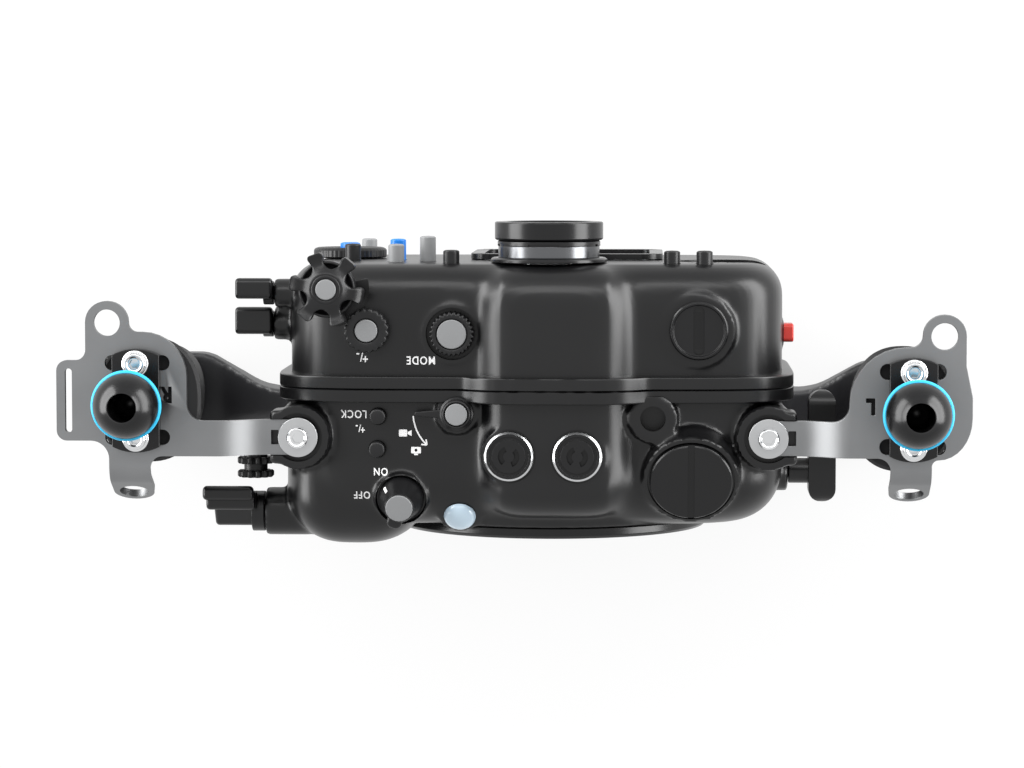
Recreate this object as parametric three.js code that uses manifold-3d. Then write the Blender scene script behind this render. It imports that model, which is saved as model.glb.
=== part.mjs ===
// An underwater housing for a mirrorless camera: two hollow aluminium shells that part behind the
// lens port, with the dials, levers and buttons that reach the camera through the walls, a bayonet
// port ring, a viewfinder, two grips on arms, and a steel bracket with a ball mount over each grip.
//
// Millimetres, +Z up. The lens looks along -Y, so the operator's right hand is at -X.
// Every piece is laid out from the parting plane of the shells (y = 0) and from the lens axis
// (x = 0). The last group moves the whole so that the origin is the middle of the base pad.
import * as THREE from "three";
import { mergeVertices } from "three/addons/utils/BufferGeometryUtils.js";
import Module from "manifold-3d";

const wasm = await Module();
wasm.setup();

// Gaps, cuts and facets
const fit = 0.3;
const overrun = 2;
const largeFacets = 26;
const middleFacets = 12;
const smallFacets = 8;
const hexFacets = 6;
const filletSteps = 2;
const roundEndShare = 0.49;
const quarter = Math.PI / 2;
const degree = Math.PI / 180;

// The two shells, the hump over the finder and the bulge in front of the right hand
const shell = {
  centreX: -5.25,
  halfWidth: 96.65,
  bottomZ: 6,
  shoulderZ: 137,
  squareness: 6,
  wall: 6,
  rearDepth: 48,
  rearRounding: 12,
  frontDepth: 54,
  frontRounding: 20.5,
  flangeDepth: 5,
  flangeOverhang: 4.5,
  facets: 28,
  roundingSteps: 3,
  hollowFacets: 14,
  hollowSteps: 2,
};
const hump = {
  centreX: 3,
  halfWidth: 30,
  halfHeight: 27,
  rise: 10,
  squareness: 4,
  rounding: 14,
  setBack: 4,
  facets: 14,
  hollowFacets: 8,
};
const bulgeSetIn = 26.2;
const bulge = {
  centreX: shell.centreX - shell.halfWidth + bulgeSetIn,
  halfWidth: 28.3,
  halfHeight: 57,
  centreZ: 75,
  squareness: 4,
  rounding: 20,
  depth: 62.4,
  facets: 16,
  hollowFacets: 8,
};
const seal = { inset: 1, width: 2.8, depth: 1.6 };
const pad = { width: 90, front: -46, rear: -2, screwSpacing: 60, screwRadius: 3, screwDepth: 7 };

// Lens port
const port = {
  centreZ: 68,
  bossRadius: 64,
  seatSetBack: 0.4,
  ringRadius: 62.3,
  ringDepth: 4,
  lip: 1.2,
  boreRadius: 50,
  throatRadius: 46.5,
  lugRadius: 44,
  lugSpan: 40 * degree,
  lugDepth: 2.4,
  lugCount: 3,
  tongue: 7,
};

// Rear window, its frame and the finder
const screen = {
  centreX: 6.1,
  centreZ: 56.5,
  width: 66,
  height: 54,
  corner: 4,
  ledge: 3,
  paneThickness: 3.5,
  frameBorder: 5.3,
  frameThickness: 2.2,
};
const finder = {
  centreZ: 116,
  flangeRadius: 22.6,
  flangeDepth: 1.8,
  neckRadius: 19.6,
  neckDepth: 5,
  grooveDepth: 0.8,
  ringRadius: 21.1,
  ringDepth: 8.6,
  ringWall: 5.2,
  boreRadius: 13,
  lensRadius: 14.2,
  lensThickness: 3,
  lensCrown: 1.5,
  crownReachShare: 0.6,
  crownRiseShare: 0.7,
};

// Controls on the top. Across is a share of the half width from the middle of the shells, and along
// is a share of the depth of the shell that carries the control, + behind the parting plane.
const starDial = {
  acrossShare: -0.815,
  alongShare: 0.808,
  bossRadius: 9,
  bossRise: 2,
  dishRadius: 10.6,
  dishHeight: 9.5,
  footShare: 0.8,
  shoulderShare: 0.5,
  tipRadius: 14.4,
  tipWidth: 7.2,
  tipFlat: 5.8,
  tipDepth: 2.6,
  spokeWidth: 4.4,
  spokeHeight: 6.6,
  spokes: 6,
  turnShare: 0.823,
  capRadius: 4.3,
};
const exposureDial = {
  acrossShare: -0.663,
  alongShare: 0.473,
  bossRadius: 7,
  bossRise: 0.6,
  radius: 8.6,
  height: 6.2,
  teeth: 10,
  capRadius: 4.3,
};
const modeDial = {
  acrossShare: -0.325,
  alongShare: 0.444,
  bossRise: -4,
  radius: 8.6,
  height: 8,
  teeth: 10,
  capRadius: 5.6,
};
const spindle = {
  shaftRadius: 2.4,
  capThickness: 1.6,
  capProud: 0.4,
  tail: 6,
  gearRadius: 4.2,
  gearDepth: 2.4,
};
const knurl = { depth: 0.8, chamfer: 0.7 };
const powerSwitch = {
  acrossShare: -0.53,
  alongShare: -0.793,
  lean: 12 * degree,
  bossRadius: 10.4,
  bossRise: 2.4,
  skirtRadius: 9.4,
  skirtHeight: 4.4,
  knobRadius: 6.3,
  knobHeight: 11,
  wingLength: 9,
  wingWidth: 4.6,
  capRadius: 5.3,
};
const driveLever = {
  acrossShare: -0.304,
  alongShare: -0.17,
  bossRadius: 8.2,
  bossRise: 3.2,
  radius: 6.6,
  height: 5.6,
  armReach: 16.2,
  armWidth: 2.2,
  armHeight: 2.2,
  capRadius: 4.2,
};
const topButton = { radius: 3.05, proud: 4.8, travel: 2, tail: 5, clipRadius: 4, clipDepth: 1.5 };
const topButtonPlaces = {
  lock_button: { acrossShare: -0.621, alongShare: -0.195 },
  custom_button: { acrossShare: -0.624, alongShare: -0.43 },
};
const lamp = {
  acrossShare: -0.298,
  alongShare: -0.918,
  lean: 34 * degree,
  bossRadius: 8.4,
  bossRise: 1.2,
  radius: 6.2,
  domeHeight: 3.6,
  stemRadius: 3.4,
};
const bulkheadPlug = {
  acrossShares: { right: -0.095, left: 0.176 },
  alongShare: -0.463,
  bossRadius: 10.9,
  bossRise: -0.6,
  radius: 9.4,
  height: 3,
  grooveRadius: 7.6,
  grooveDepth: 0.7,
  grooveWidth: 1.1,
  stemRadius: 6,
  keyRadius: 3.2,
  keyDepth: 1.6,
};
const vacuumPlug = {
  acrossShare: 0.6555,
  alongShare: 0.473,
  bossRadius: 14,
  bossRise: 1,
  rimRadius: 11.3,
  faceRadius: 10.1,
  height: 2.4,
  faceSink: 0.7,
  slotWidth: 3,
  slotDepth: 1.4,
  stemRadius: 7,
};
const bulkheadCap = {
  acrossShare: 0.6265,
  alongShare: -0.639,
  lean: 24 * degree,
  bossRadius: 18.6,
  bossRise: 1.6,
  radius: 16,
  height: 2.6,
  slotWidth: 2.3,
  slotDepth: 1.2,
  stemRadius: 12,
};
const accessoryBoss = {
  acrossShare: 0.4744,
  alongShare: -0.2,
  radius: 9.5,
  rise: 6,
  holeRadius: 4.85,
  holeDepth: 9,
};

// Controls on the rear face. Up is a share of the height between the bottom and the shoulder.
const rearButton = { radius: 3.15, travel: 2, tail: 5, clipRadius: 4.1, clipDepth: 1.5, chamfer: 0.5 };
const rearButtonPlaces = {
  playback_button: { acrossShare: -0.755, upShare: 0.68, proud: 6.8 },
  function_button: { acrossShare: -0.569, upShare: 0.769, proud: 7 },
  record_button: { acrossShare: -0.578, upShare: 0.59, proud: 8.4 },
  focus_button: { acrossShare: -0.444, upShare: 0.724, proud: 10 },
  disp_button: { acrossShare: -0.336, upShare: 0.888, proud: 4.4 },
  menu_button: { acrossShare: 0.549, upShare: 0.888, proud: 4 },
  custom_rear_button: { acrossShare: 0.679, upShare: 0.888, proud: 4 },
  delete_button: { acrossShare: -0.731, upShare: 0.276, proud: 4.2 },
};
const controlWheel = {
  acrossShare: -0.7925,
  upShare: 0.455,
  radius: 14.75,
  depth: 4,
  teeth: 10,
  buttonRadius: 5,
};
const latch = {
  acrossShare: 0.753,
  upShare: 0.687,
  pocketRadius: 17.6,
  pocketDepth: 8,
  knobRadius: 15.6,
  knobDepth: 3.4,
  gripWidth: 5.5,
  gripLength: 28,
  gripDepth: 3.4,
  shaftRadius: 4,
  camWidth: 7,
  camLength: 20,
  camDepth: 4,
  camHubRadius: 4.9,
};
const latchButton = {
  alongShare: 0.41,
  upShare: 0.65,
  width: 7.2,
  height: 11,
  corner: 1.6,
  proud: 4.6,
  travel: 2,
  guideBorder: 1.4,
  guideRise: 0.8,
  tail: 4,
  clip: 1.2,
  clipDepth: 1.4,
};

// Levers on the side walls. Each turns on a shaft along X, outboard of a boss on the wall.
const sideShaft = { radius: 2.5, tail: 5, clipRadius: 4.4, clipDepth: 1.8 };
const recordLever = {
  alongShare: 0.49,
  upShare: 0.755,
  bossRadius: 6.4,
  bossReach: 6.6,
  hubRadius: 5.2,
  hubDepth: 4,
  padReach: 21.4,
  padBack: 1.4,
  padRise: 5,
  padWidth: 10.6,
  padThickness: 6,
};
const afLever = {
  alongShare: 0.75,
  upShare: 0.83,
  bossRadius: 5.6,
  bossReach: 5.4,
  hubRadius: 4.6,
  hubDepth: 4,
  padReach: 20,
  padBack: 2,
  padRise: 6.6,
  padWidth: 8,
  padThickness: 6,
};
const shutterLever = {
  alongShare: -0.937,
  upShare: 0.762,
  bossRadius: 9.4,
  bossReach: 10,
  hubRadius: 7.9,
  hubDepth: 5,
  barLength: 18.4,
  barThickness: 6,
  barBack: 8.6,
  barRise: 12.4,
  heelDrop: 3,
  heelFront: 4.8,
  heelBack: 4,
  endShare: 0.45,
};
const frontDial = {
  reach: 13.4,
  front: -36.4,
  width: 8,
  upShare: 0.813,
  radius: 7.2,
  waistRadius: 4.6,
  teeth: 6,
  toothDepth: 1.4,
  neckRadius: 2.2,
  bossRadius: 5.4,
  webHeight: 8.6,
  bossFront: -23,
  bossRear: -12.6,
  clipRadius: 3.6,
  clipDepth: 1.6,
};
const portLever = {
  alongShare: -0.669,
  upShare: 0.575,
  bossRadius: 8,
  bossReach: 3,
  hubRadius: 5,
  hubReach: 11.2,
  barWidth: 10.8,
  barHeight: 12,
  barRear: 32.4,
  barFront: 12.4,
};

// Brackets, ball mounts, grips and arms. The two sides differ as the hands do.
const clevis = { y: -18.6, radius: 12.4, ear: 11, earHalf: 10.4, lip: 4.2, washerRadius: 9.4, drop: 34 };
const strap = {
  width: 13.6,
  thickness: 3,
  clevisDrop: 8.4,
  joggleNear: 20.4,
  joggleFar: 28.4,
  bendRadius: 4.2,
  endRadius: 6.6,
  reach: 46,
};
const bracketScrew = {
  washerRadius: 7.6,
  washerThickness: 1.4,
  headRadius: 4.1,
  headHeight: 3.4,
  shaftRadius: 2.9,
  reach: 16,
};
const plate = {
  topZ: 147,
  tabDrop: 29,
  bendRadius: 5,
  bendAngle: 63 * degree,
  tabLength: 9,
  tabWidth: 15.6,
  tabHoleRadius: 5.6,
  lobeRadius: 8.3,
  lobeHoleRadius: 5.1,
  slotLength: 25,
  slotWidth: 6,
  strapFillet: 6.5,
  tabFillet: 5,
  eyeOffset: 9,
  eyeLength: 2.9,
  eyeWidth: 5.6,
};
const ball = {
  radius: 12.7,
  centreRise: 29,
  neckRadius: 8,
  neckFlare: 3,
  baseRadius: 19.8,
  baseWidth: 18.2,
  baseHeight: 5,
  holeRadius: 5.4,
  holeDepth: 12,
  ringRadius: 1.15,
  ringSeat: 12.2,
  screwSpacing: 28.6,
  facets: 16,
};
const ballScrew = {
  headRadius: 4.6,
  headHeight: 3.6,
  shaftRadius: 2.4,
  reach: 14,
  keyRadius: 2,
  keyDepth: 1.8,
};
const grip = {
  halfWidth: 17,
  halfLength: 21,
  capHalfWidth: 20,
  capHalfLength: 24,
  capThickness: 5,
  grooves: 4,
  grooveDepth: 2.2,
  taper: 2,
  lean: 10,
  leanForward: 6,
  setIn: 4,
  rings: 10,
  facets: 12,
};
const arm = {
  rootFront: -31,
  rootRear: -7,
  rootTop: 38,
  rootBottom: 5,
  footThickness: 14,
  footReach: 16,
  waistShare: 0.42,
  waistNarrowing: 1,
  rearFillet: 26,
  endFillet: 14,
};
const tray = {
  width: 78,
  front: -40,
  rear: -4,
  thickness: 4,
  railHeight: 5,
  railWidth: 8,
  stopHeight: 3,
  screwRadius: 3,
};


// Each ball stands out from its side wall and behind the screw of its bracket
const ballReach = { right: 55, left: 47.9 };
const ballSetBack = { right: 14.8, left: 12 };
const sides = {
  right: {
    name: "right",
    sign: -1,
    ballX: shell.centreX - shell.halfWidth - ballReach.right,
    ballY: clevis.y + ballSetBack.right,
  },
  left: {
    name: "left",
    sign: 1,
    ballX: shell.centreX + shell.halfWidth + ballReach.left,
    ballY: clevis.y + ballSetBack.left,
  },
};

// Finishes
const finishes = {
  anodised: { color: 0x1d1e20, roughness: 0.42, metalness: 0.6 },
  polymer: { color: 0x18191a, roughness: 0.5, metalness: 0 },
  rubber: { color: 0x1b1b1c, roughness: 0.75, metalness: 0 },
  stainless: { color: 0x8a8c8f, roughness: 0.34, metalness: 0.95 },
  polished: { color: 0xd2d4d6, roughness: 0.18, metalness: 1 },
  cap: { color: 0xa3a4a5, roughness: 0.5, metalness: 0.1 },
  blueRubber: { color: 0x2ba6d9, roughness: 0.5, metalness: 0 },
  blueButton: { color: 0x1f7ae0, roughness: 0.35, metalness: 0 },
  redButton: { color: 0xd63a38, roughness: 0.4, metalness: 0 },
  lens: { color: 0xb9cad8, roughness: 0.08, metalness: 0 },
  window: { color: 0x1c2328, roughness: 0.05, metalness: 0 },
};

// Solids from geometries
function toSolid(item) {
  if (!(item instanceof THREE.BufferGeometry)) return item;
  const bare = item.clone();
  bare.deleteAttribute("normal");
  bare.deleteAttribute("uv");
  const merged = mergeVertices(bare);
  const points = merged.attributes.position;
  const corners = merged.index.array;
  const triangles = [];
  let volume = 0;
  const a = new THREE.Vector3();
  const b = new THREE.Vector3();
  const c = new THREE.Vector3();
  for (let i = 0; i < corners.length; i += 3) {
    const [p, q, r] = [corners[i], corners[i + 1], corners[i + 2]];
    if (p === q || q === r || r === p) continue;
    triangles.push([p, q, r]);
    a.fromBufferAttribute(points, p);
    b.fromBufferAttribute(points, q);
    c.fromBufferAttribute(points, r);
    volume += a.dot(b.cross(c));
  }
  const outward = volume > 0 ? triangles : triangles.map(([p, q, r]) => [p, r, q]);
  return new wasm.Manifold(
    new wasm.Mesh({
      numProp: 3,
      vertProperties: new Float32Array(points.array),
      triVerts: new Uint32Array(outward.flat()),
    }),
  );
}

function joined(...items) {
  return items.map(toSolid).reduce((whole, next) => whole.add(next));
}

function cut(whole, ...tools) {
  return tools.map(toSolid).reduce((rest, tool) => rest.subtract(tool), toSolid(whole));
}

function common(first, second) {
  return toSolid(first).intersect(toSolid(second));
}

function toGeometry(item) {
  const mesh = toSolid(item).getMesh();
  const geometry = new THREE.BufferGeometry();
  geometry.setAttribute("position", new THREE.BufferAttribute(new Float32Array(mesh.vertProperties), 3));
  geometry.setIndex(new THREE.BufferAttribute(new Uint32Array(mesh.triVerts), 1));
  geometry.computeVertexNormals();
  return geometry;
}

// Boxes, rods, slabs and turned forms, already in place
function block(x0, x1, y0, y1, z0, z1) {
  const geometry = new THREE.BoxGeometry(Math.abs(x1 - x0), Math.abs(y1 - y0), Math.abs(z1 - z0));
  return geometry.translate((x0 + x1) / 2, (y0 + y1) / 2, (z0 + z1) / 2);
}

function rodZ(radius, z0, z1, x = 0, y = 0, facets = middleFacets) {
  const geometry = new THREE.CylinderGeometry(radius, radius, Math.abs(z1 - z0), facets);
  return geometry.rotateX(quarter).translate(x, y, (z0 + z1) / 2);
}

function rodY(radius, y0, y1, x = 0, z = 0, facets = middleFacets) {
  const geometry = new THREE.CylinderGeometry(radius, radius, Math.abs(y1 - y0), facets);
  return geometry.translate(x, (y0 + y1) / 2, z);
}

function rodX(radius, x0, x1, y = 0, z = 0, facets = middleFacets) {
  const geometry = new THREE.CylinderGeometry(radius, radius, Math.abs(x1 - x0), facets);
  return geometry.rotateZ(quarter).translate((x0 + x1) / 2, y, z);
}

function slabZ(shape, z0, z1) {
  const options = { depth: z1 - z0, bevelEnabled: false, curveSegments: filletSteps };
  return new THREE.ExtrudeGeometry(shape, options).translate(0, 0, z0);
}

// A shape drawn in x and z, run from y0 to y1
function slabY(shape, y0, y1) {
  const options = { depth: y1 - y0, bevelEnabled: false, curveSegments: filletSteps };
  return new THREE.ExtrudeGeometry(shape, options).rotateX(quarter).translate(0, y1, 0);
}

// A shape drawn in y and z, run from x0 to x1
function slabX(shape, x0, x1) {
  const options = { depth: x1 - x0, bevelEnabled: false, curveSegments: filletSteps };
  return new THREE.ExtrudeGeometry(shape, options).rotateZ(quarter).rotateY(quarter).translate(x0, 0, 0);
}

// A profile of radius and height, turned round the z axis
function turned(profile, facets = middleFacets) {
  const points = profile.map(([radius, height]) => new THREE.Vector2(radius, height));
  return new THREE.LatheGeometry(points, facets).rotateX(quarter);
}

// The same, turned round the y axis through (x, z)
function turnedY(profile, x, z, facets = middleFacets) {
  const points = profile.map(([radius, height]) => new THREE.Vector2(radius, height));
  return new THREE.LatheGeometry(points, facets).translate(x, 0, z);
}

// A polygon whose corners [x, y, radius] are rounded by tangent arcs, inside or outside corners alike
function roundedPolygon(corners) {
  const points = [];
  const count = corners.length;
  corners.forEach(([x, y, radius], i) => {
    const here = new THREE.Vector2(x, y);
    if (!radius) {
      points.push(here);
      return;
    }
    const [bx, by] = corners[(i + count - 1) % count];
    const [nx, ny] = corners[(i + 1) % count];
    const back = new THREE.Vector2(bx, by).sub(here).normalize();
    const next = new THREE.Vector2(nx, ny).sub(here).normalize();
    const half = Math.acos(THREE.MathUtils.clamp(back.dot(next), -1, 1)) / 2;
    const middle = back.clone().add(next).normalize();
    const centre = here.clone().addScaledVector(middle, radius / Math.sin(half));
    const start = here.clone().addScaledVector(back, radius / Math.tan(half)).sub(centre);
    const end = here.clone().addScaledVector(next, radius / Math.tan(half)).sub(centre);
    const sweep = Math.atan2(start.cross(end), start.dot(end));
    for (let step = 0; step <= filletSteps; step++) {
      const spoke = start.clone().rotateAround(new THREE.Vector2(), (sweep * step) / filletSteps);
      points.push(spoke.add(centre));
    }
  });
  return new THREE.Shape(points);
}

function roundedBox(x, y, width, height, corner) {
  const [w, h] = [width / 2, height / 2];
  return roundedPolygon([
    [x - w, y - h, corner],
    [x + w, y - h, corner],
    [x + w, y + h, corner],
    [x - w, y + h, corner],
  ]);
}

// A closed skin over rings that all have the same number of points
function loft(rings) {
  const count = rings[0].length;
  const points = rings.flat();
  const indices = [];
  for (let ring = 0; ring + 1 < rings.length; ring++) {
    for (let i = 0; i < count; i++) {
      const a = ring * count + i;
      const b = ring * count + ((i + 1) % count);
      indices.push(a, b, a + count, b, b + count, a + count);
    }
  }
  const first = new THREE.Vector3();
  const last = new THREE.Vector3();
  rings[0].forEach((point) => first.addScaledVector(point, 1 / count));
  rings[rings.length - 1].forEach((point) => last.addScaledVector(point, 1 / count));
  const firstIndex = points.length;
  const lastStart = firstIndex - count;
  for (let i = 0; i < count; i++) {
    const j = (i + 1) % count;
    indices.push(firstIndex, j, i);
    indices.push(firstIndex + 1, lastStart + i, lastStart + j);
  }
  const geometry = new THREE.BufferGeometry().setFromPoints([...points, first, last]);
  return geometry.setIndex(indices);
}

// A rounded square in x and z at one y, drawn in by inset
function ovalRing(form, inset, y) {
  const ring = [];
  for (let i = 0; i < form.facets; i++) {
    const turn = (2 * Math.PI * i) / form.facets;
    const c = Math.cos(turn);
    const s = Math.sin(turn);
    const n = form.squareness;
    const radius = Math.pow(Math.pow(Math.abs(c), n) + Math.pow(Math.abs(s), n), -1 / n);
    const x = form.centreX + radius * c * (form.halfWidth - inset);
    const z = form.centreZ + radius * s * (form.halfHeight - inset);
    ring.push(new THREE.Vector3(x, y, z));
  }
  return ring;
}

// The form run from y0 to y1 with its front and rear edges rounded
function ovalBody(form, y0, rounding0, y1, rounding1, inset = 0, steps = shell.roundingSteps) {
  const rings = [];
  for (let step = 0; step <= steps; step++) {
    const angle = (quarter * step) / steps;
    const drawn = rounding0 * (1 - Math.sin(angle));
    rings.push(ovalRing(form, inset + drawn, y0 + rounding0 * (1 - Math.cos(angle))));
    if (rounding0 <= 0) break;
  }
  for (let step = steps; step >= 0; step--) {
    const angle = (quarter * step) / steps;
    const drawn = rounding1 * (1 - Math.sin(angle));
    rings.push(ovalRing(form, inset + drawn, y1 - rounding1 * (1 - Math.cos(angle))));
    if (rounding1 <= 0) break;
  }
  return loft(rings);
}

// The form of the shells, their hump and their bulge
const shellForm = {
  ...shell,
  centreZ: (shell.shoulderZ + shell.bottomZ) / 2,
  halfHeight: (shell.shoulderZ - shell.bottomZ) / 2,
};
const humpForm = { ...hump, centreZ: shell.shoulderZ + hump.rise - hump.halfHeight };
const humpTopZ = shell.shoulderZ + hump.rise;
const humpFrontY = -shell.frontDepth + hump.setBack;
const humpRearY = shell.rearDepth - fit;
const wallX = { right: shell.centreX - shell.halfWidth, left: shell.centreX + shell.halfWidth };
const portSeatY = -shell.frontDepth - port.seatSetBack;

function acrossX(share) {
  return shell.centreX + share * shell.halfWidth;
}

function alongY(share) {
  return share * (share < 0 ? shell.frontDepth : shell.rearDepth);
}

function upZ(share) {
  return shell.bottomZ + share * (shell.shoulderZ - shell.bottomZ);
}

function drawnIn(y, front, frontRounding, rear, rearRounding) {
  const past = Math.max(front + frontRounding - y, 0, y - (rear - rearRounding));
  const rounding = y < 0 ? frontRounding : rearRounding;
  return rounding - Math.sqrt(Math.max(rounding * rounding - past * past, 0));
}

function crownOf(form, inset, x) {
  const reach = Math.min(Math.abs(x - form.centreX) / (form.halfWidth - inset), 1);
  const rise = Math.pow(1 - Math.pow(reach, form.squareness), 1 / form.squareness);
  return form.centreZ + (form.halfHeight - inset) * rise;
}

// The height of the outer skin at a place on the top
function topAt(x, y) {
  const shellInset = drawnIn(y, -shell.frontDepth, shell.frontRounding, shell.rearDepth, shell.rearRounding);
  const humpInset = drawnIn(y, humpFrontY, hump.rounding, humpRearY, hump.rounding);
  return Math.max(crownOf(shellForm, shellInset, x), crownOf(humpForm, humpInset, x));
}

// Where a control sits on the top: the middle of its boss, and how far that leans forward
function topSeat(place, rise) {
  const x = acrossX(place.acrossShare);
  const y = alongY(place.alongShare);
  return { x, y, z: topAt(x, y) + rise, lean: place.lean || 0 };
}

const seats = {
  star: topSeat(starDial, starDial.bossRise),
  exposure: topSeat(exposureDial, exposureDial.bossRise),
  mode: topSeat(modeDial, modeDial.bossRise),
  power: topSeat(powerSwitch, powerSwitch.bossRise),
  drive: topSeat(driveLever, driveLever.bossRise),
  lamp: topSeat(lamp, lamp.bossRise),
  vacuum: topSeat(vacuumPlug, vacuumPlug.bossRise),
  cap: topSeat(bulkheadCap, bulkheadCap.bossRise),
  accessory: topSeat(accessoryBoss, accessoryBoss.rise),
};
const plugSeats = Object.fromEntries(
  Object.entries(bulkheadPlug.acrossShares).map(([name, acrossShare]) => [
    name,
    topSeat({ acrossShare, alongShare: bulkheadPlug.alongShare }, bulkheadPlug.bossRise),
  ]),
);
const topButtonSeats = Object.fromEntries(
  Object.entries(topButtonPlaces).map(([name, place]) => [name, topSeat(place, 0)]),
);
const clevisX = {
  right: wallX.right + clevis.radius / 2 - fit,
  left: wallX.left - clevis.radius / 2 - fit,
};
const strapTopZ = plate.topZ - strap.clevisDrop;
const strapFloorZ = strapTopZ - strap.thickness - fit;
const ballCentreZ = plate.topZ + ball.centreRise;

function atSeat(item, seat) {
  return item.rotateX(seat.lean).translate(seat.x, seat.y, seat.z);
}

// Material added under a control, down into the wall
function seatBoss(seat, radius, depth = shell.wall * 2) {
  return atSeat(rodZ(radius, -depth, 0), seat);
}

// A running hole through the wall under a control
function seatHole(seat, radius, facets = smallFacets) {
  return atSeat(rodZ(radius + fit, -shell.wall * 3, overrun * 4, 0, 0, facets), seat);
}

// Room inside the wall for the gear or clip at the lower end of a control
function seatPocket(seat, radius, rise) {
  const ceiling = -Math.max(rise, 0) - shell.wall + fit;
  return atSeat(rodZ(radius + fit * 2, ceiling - spindle.tail * 2, ceiling, 0, 0, smallFacets), seat);
}

// Room above a boss for the control that sits on it
function seatClearance(seat, radius, height) {
  return atSeat(rodZ(radius + fit * 3, 0, height, 0, 0), seat);
}

// The shells
function outlinePrism(inset, y0, y1) {
  const prisms = [shellForm, humpForm].map((form) =>
    loft([ovalRing(form, inset, y0), ovalRing(form, inset, y1)]));
  return joined(...prisms);
}

function outerSkin() {
  const { frontDepth, frontRounding, rearDepth, rearRounding, flangeDepth, flangeOverhang } = shell;
  return joined(
    ovalBody(shellForm, -frontDepth, frontRounding, rearDepth, rearRounding),
    ovalBody(humpForm, humpFrontY, hump.rounding, humpRearY, hump.rounding),
    outlinePrism(-flangeOverhang, -flangeDepth, flangeDepth),
  );
}

function bulgeSkin() {
  return ovalBody(bulge, -bulge.depth, bulge.rounding, -shell.flangeDepth, 0);
}

function bulgeHollow() {
  const form = { ...bulge, facets: bulge.hollowFacets };
  const { wall, hollowSteps } = shell;
  return ovalBody(form, -bulge.depth + wall, bulge.rounding - wall, -wall, 0, wall, hollowSteps);
}

function innerSkin() {
  const { frontDepth, frontRounding, rearDepth, rearRounding, wall, hollowSteps } = shell;
  const room = { ...shellForm, facets: shell.hollowFacets };
  const humpRoom = { ...humpForm, facets: hump.hollowFacets };
  const edge = hump.rounding - wall;
  const [front, rear] = [wall - frontDepth, rearDepth - wall];
  return joined(
    ovalBody(room, front, frontRounding - wall, rear, rearRounding - wall, wall, hollowSteps),
    ovalBody(humpRoom, humpFrontY + wall, edge, humpRearY - wall, edge, wall, hollowSteps),
  );
}

function halfSpace(front) {
  const reach = shell.halfWidth * 2;
  const near = fit / 2;
  return block(-reach, reach, front ? -reach : near, front ? -near : reach, -reach, reach);
}

function clevisBoss(side) {
  const x = clevisX[side.name];
  const outer = x + side.sign * clevis.ear;
  const top = strapTopZ + clevis.lip - strap.thickness;
  return [
    rodZ(clevis.radius, top - clevis.drop, top, x, clevis.y),
    block(x, outer, clevis.y - clevis.earHalf, clevis.y + clevis.earHalf, top - clevis.drop / 2, top),
  ];
}

function clevisCuts(side) {
  const x = clevisX[side.name];
  const half = strap.width / 2 + fit;
  const high = plate.topZ + clevis.lip;
  return [
    rodZ(clevis.washerRadius, strapFloorZ, high, x, clevis.y),
    block(x, x + side.sign * (clevis.ear + overrun), clevis.y - half, clevis.y + half, strapFloorZ, high),
    rodZ(bracketScrew.shaftRadius + fit, strapFloorZ - bracketScrew.reach, high, x, clevis.y, smallFacets),
  ];
}

function basePad() {
  const half = pad.width / 2;
  return block(-half, half, pad.front, pad.rear, 0, shell.bottomZ + shell.wall);
}

function padHoles() {
  const middle = (pad.front + pad.rear) / 2;
  return [-1, 1].map((sign) =>
    rodZ(pad.screwRadius, -overrun, pad.screwDepth, (sign * pad.screwSpacing) / 2, middle, smallFacets));
}

function trayRails() {
  const floor = shell.bottomZ + shell.wall;
  return [-1, 1].map((sign) => {
    const x = (sign * (tray.width - tray.railWidth)) / 2;
    const half = tray.railWidth / 2;
    return block(x - half, x + half, tray.front, tray.rear, floor - overrun, floor + tray.railHeight);
  });
}

const frontDialX = wallX.right - frontDial.reach;
const frontDialZ = upZ(frontDial.upShare);

function frontDialBoss() {
  const { bossFront, bossRear, bossRadius } = frontDial;
  const reach = wallX.right + shell.wall;
  const half = frontDial.webHeight / 2;
  return [
    rodY(bossRadius, bossFront, bossRear, frontDialX, frontDialZ),
    block(frontDialX, reach, bossFront, bossRear, frontDialZ - half, frontDialZ + half),
  ];
}

// The shaft of a lever on a side wall: its place, and the x of the outer face of its boss
function sideSeat(lever, side) {
  const x = wallX[side.name] + side.sign * lever.bossReach;
  return { x, y: alongY(lever.alongShare), z: upZ(lever.upShare), sign: side.sign, wall: wallX[side.name] };
}

const recordSeat = sideSeat(recordLever, sides.right);
const afSeat = sideSeat(afLever, sides.right);
const shutterSeat = sideSeat(shutterLever, sides.right);
const portLeverSeat = sideSeat(portLever, sides.left);

function sideBoss(seat, radius) {
  return rodX(radius, seat.x, seat.wall - seat.sign * shell.wall * 2, seat.y, seat.z);
}

function sideHole(seat) {
  const inner = seat.wall - seat.sign * shell.wall * 4;
  return rodX(sideShaft.radius + fit, seat.x + seat.sign * overrun, inner, seat.y, seat.z, smallFacets);
}

function sidePocket(seat) {
  const ceiling = seat.wall - seat.sign * (shell.wall - fit);
  const radius = sideShaft.clipRadius + fit * 2;
  return rodX(radius, ceiling, ceiling - seat.sign * sideShaft.tail * 2, seat.y, seat.z, smallFacets);
}

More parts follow.
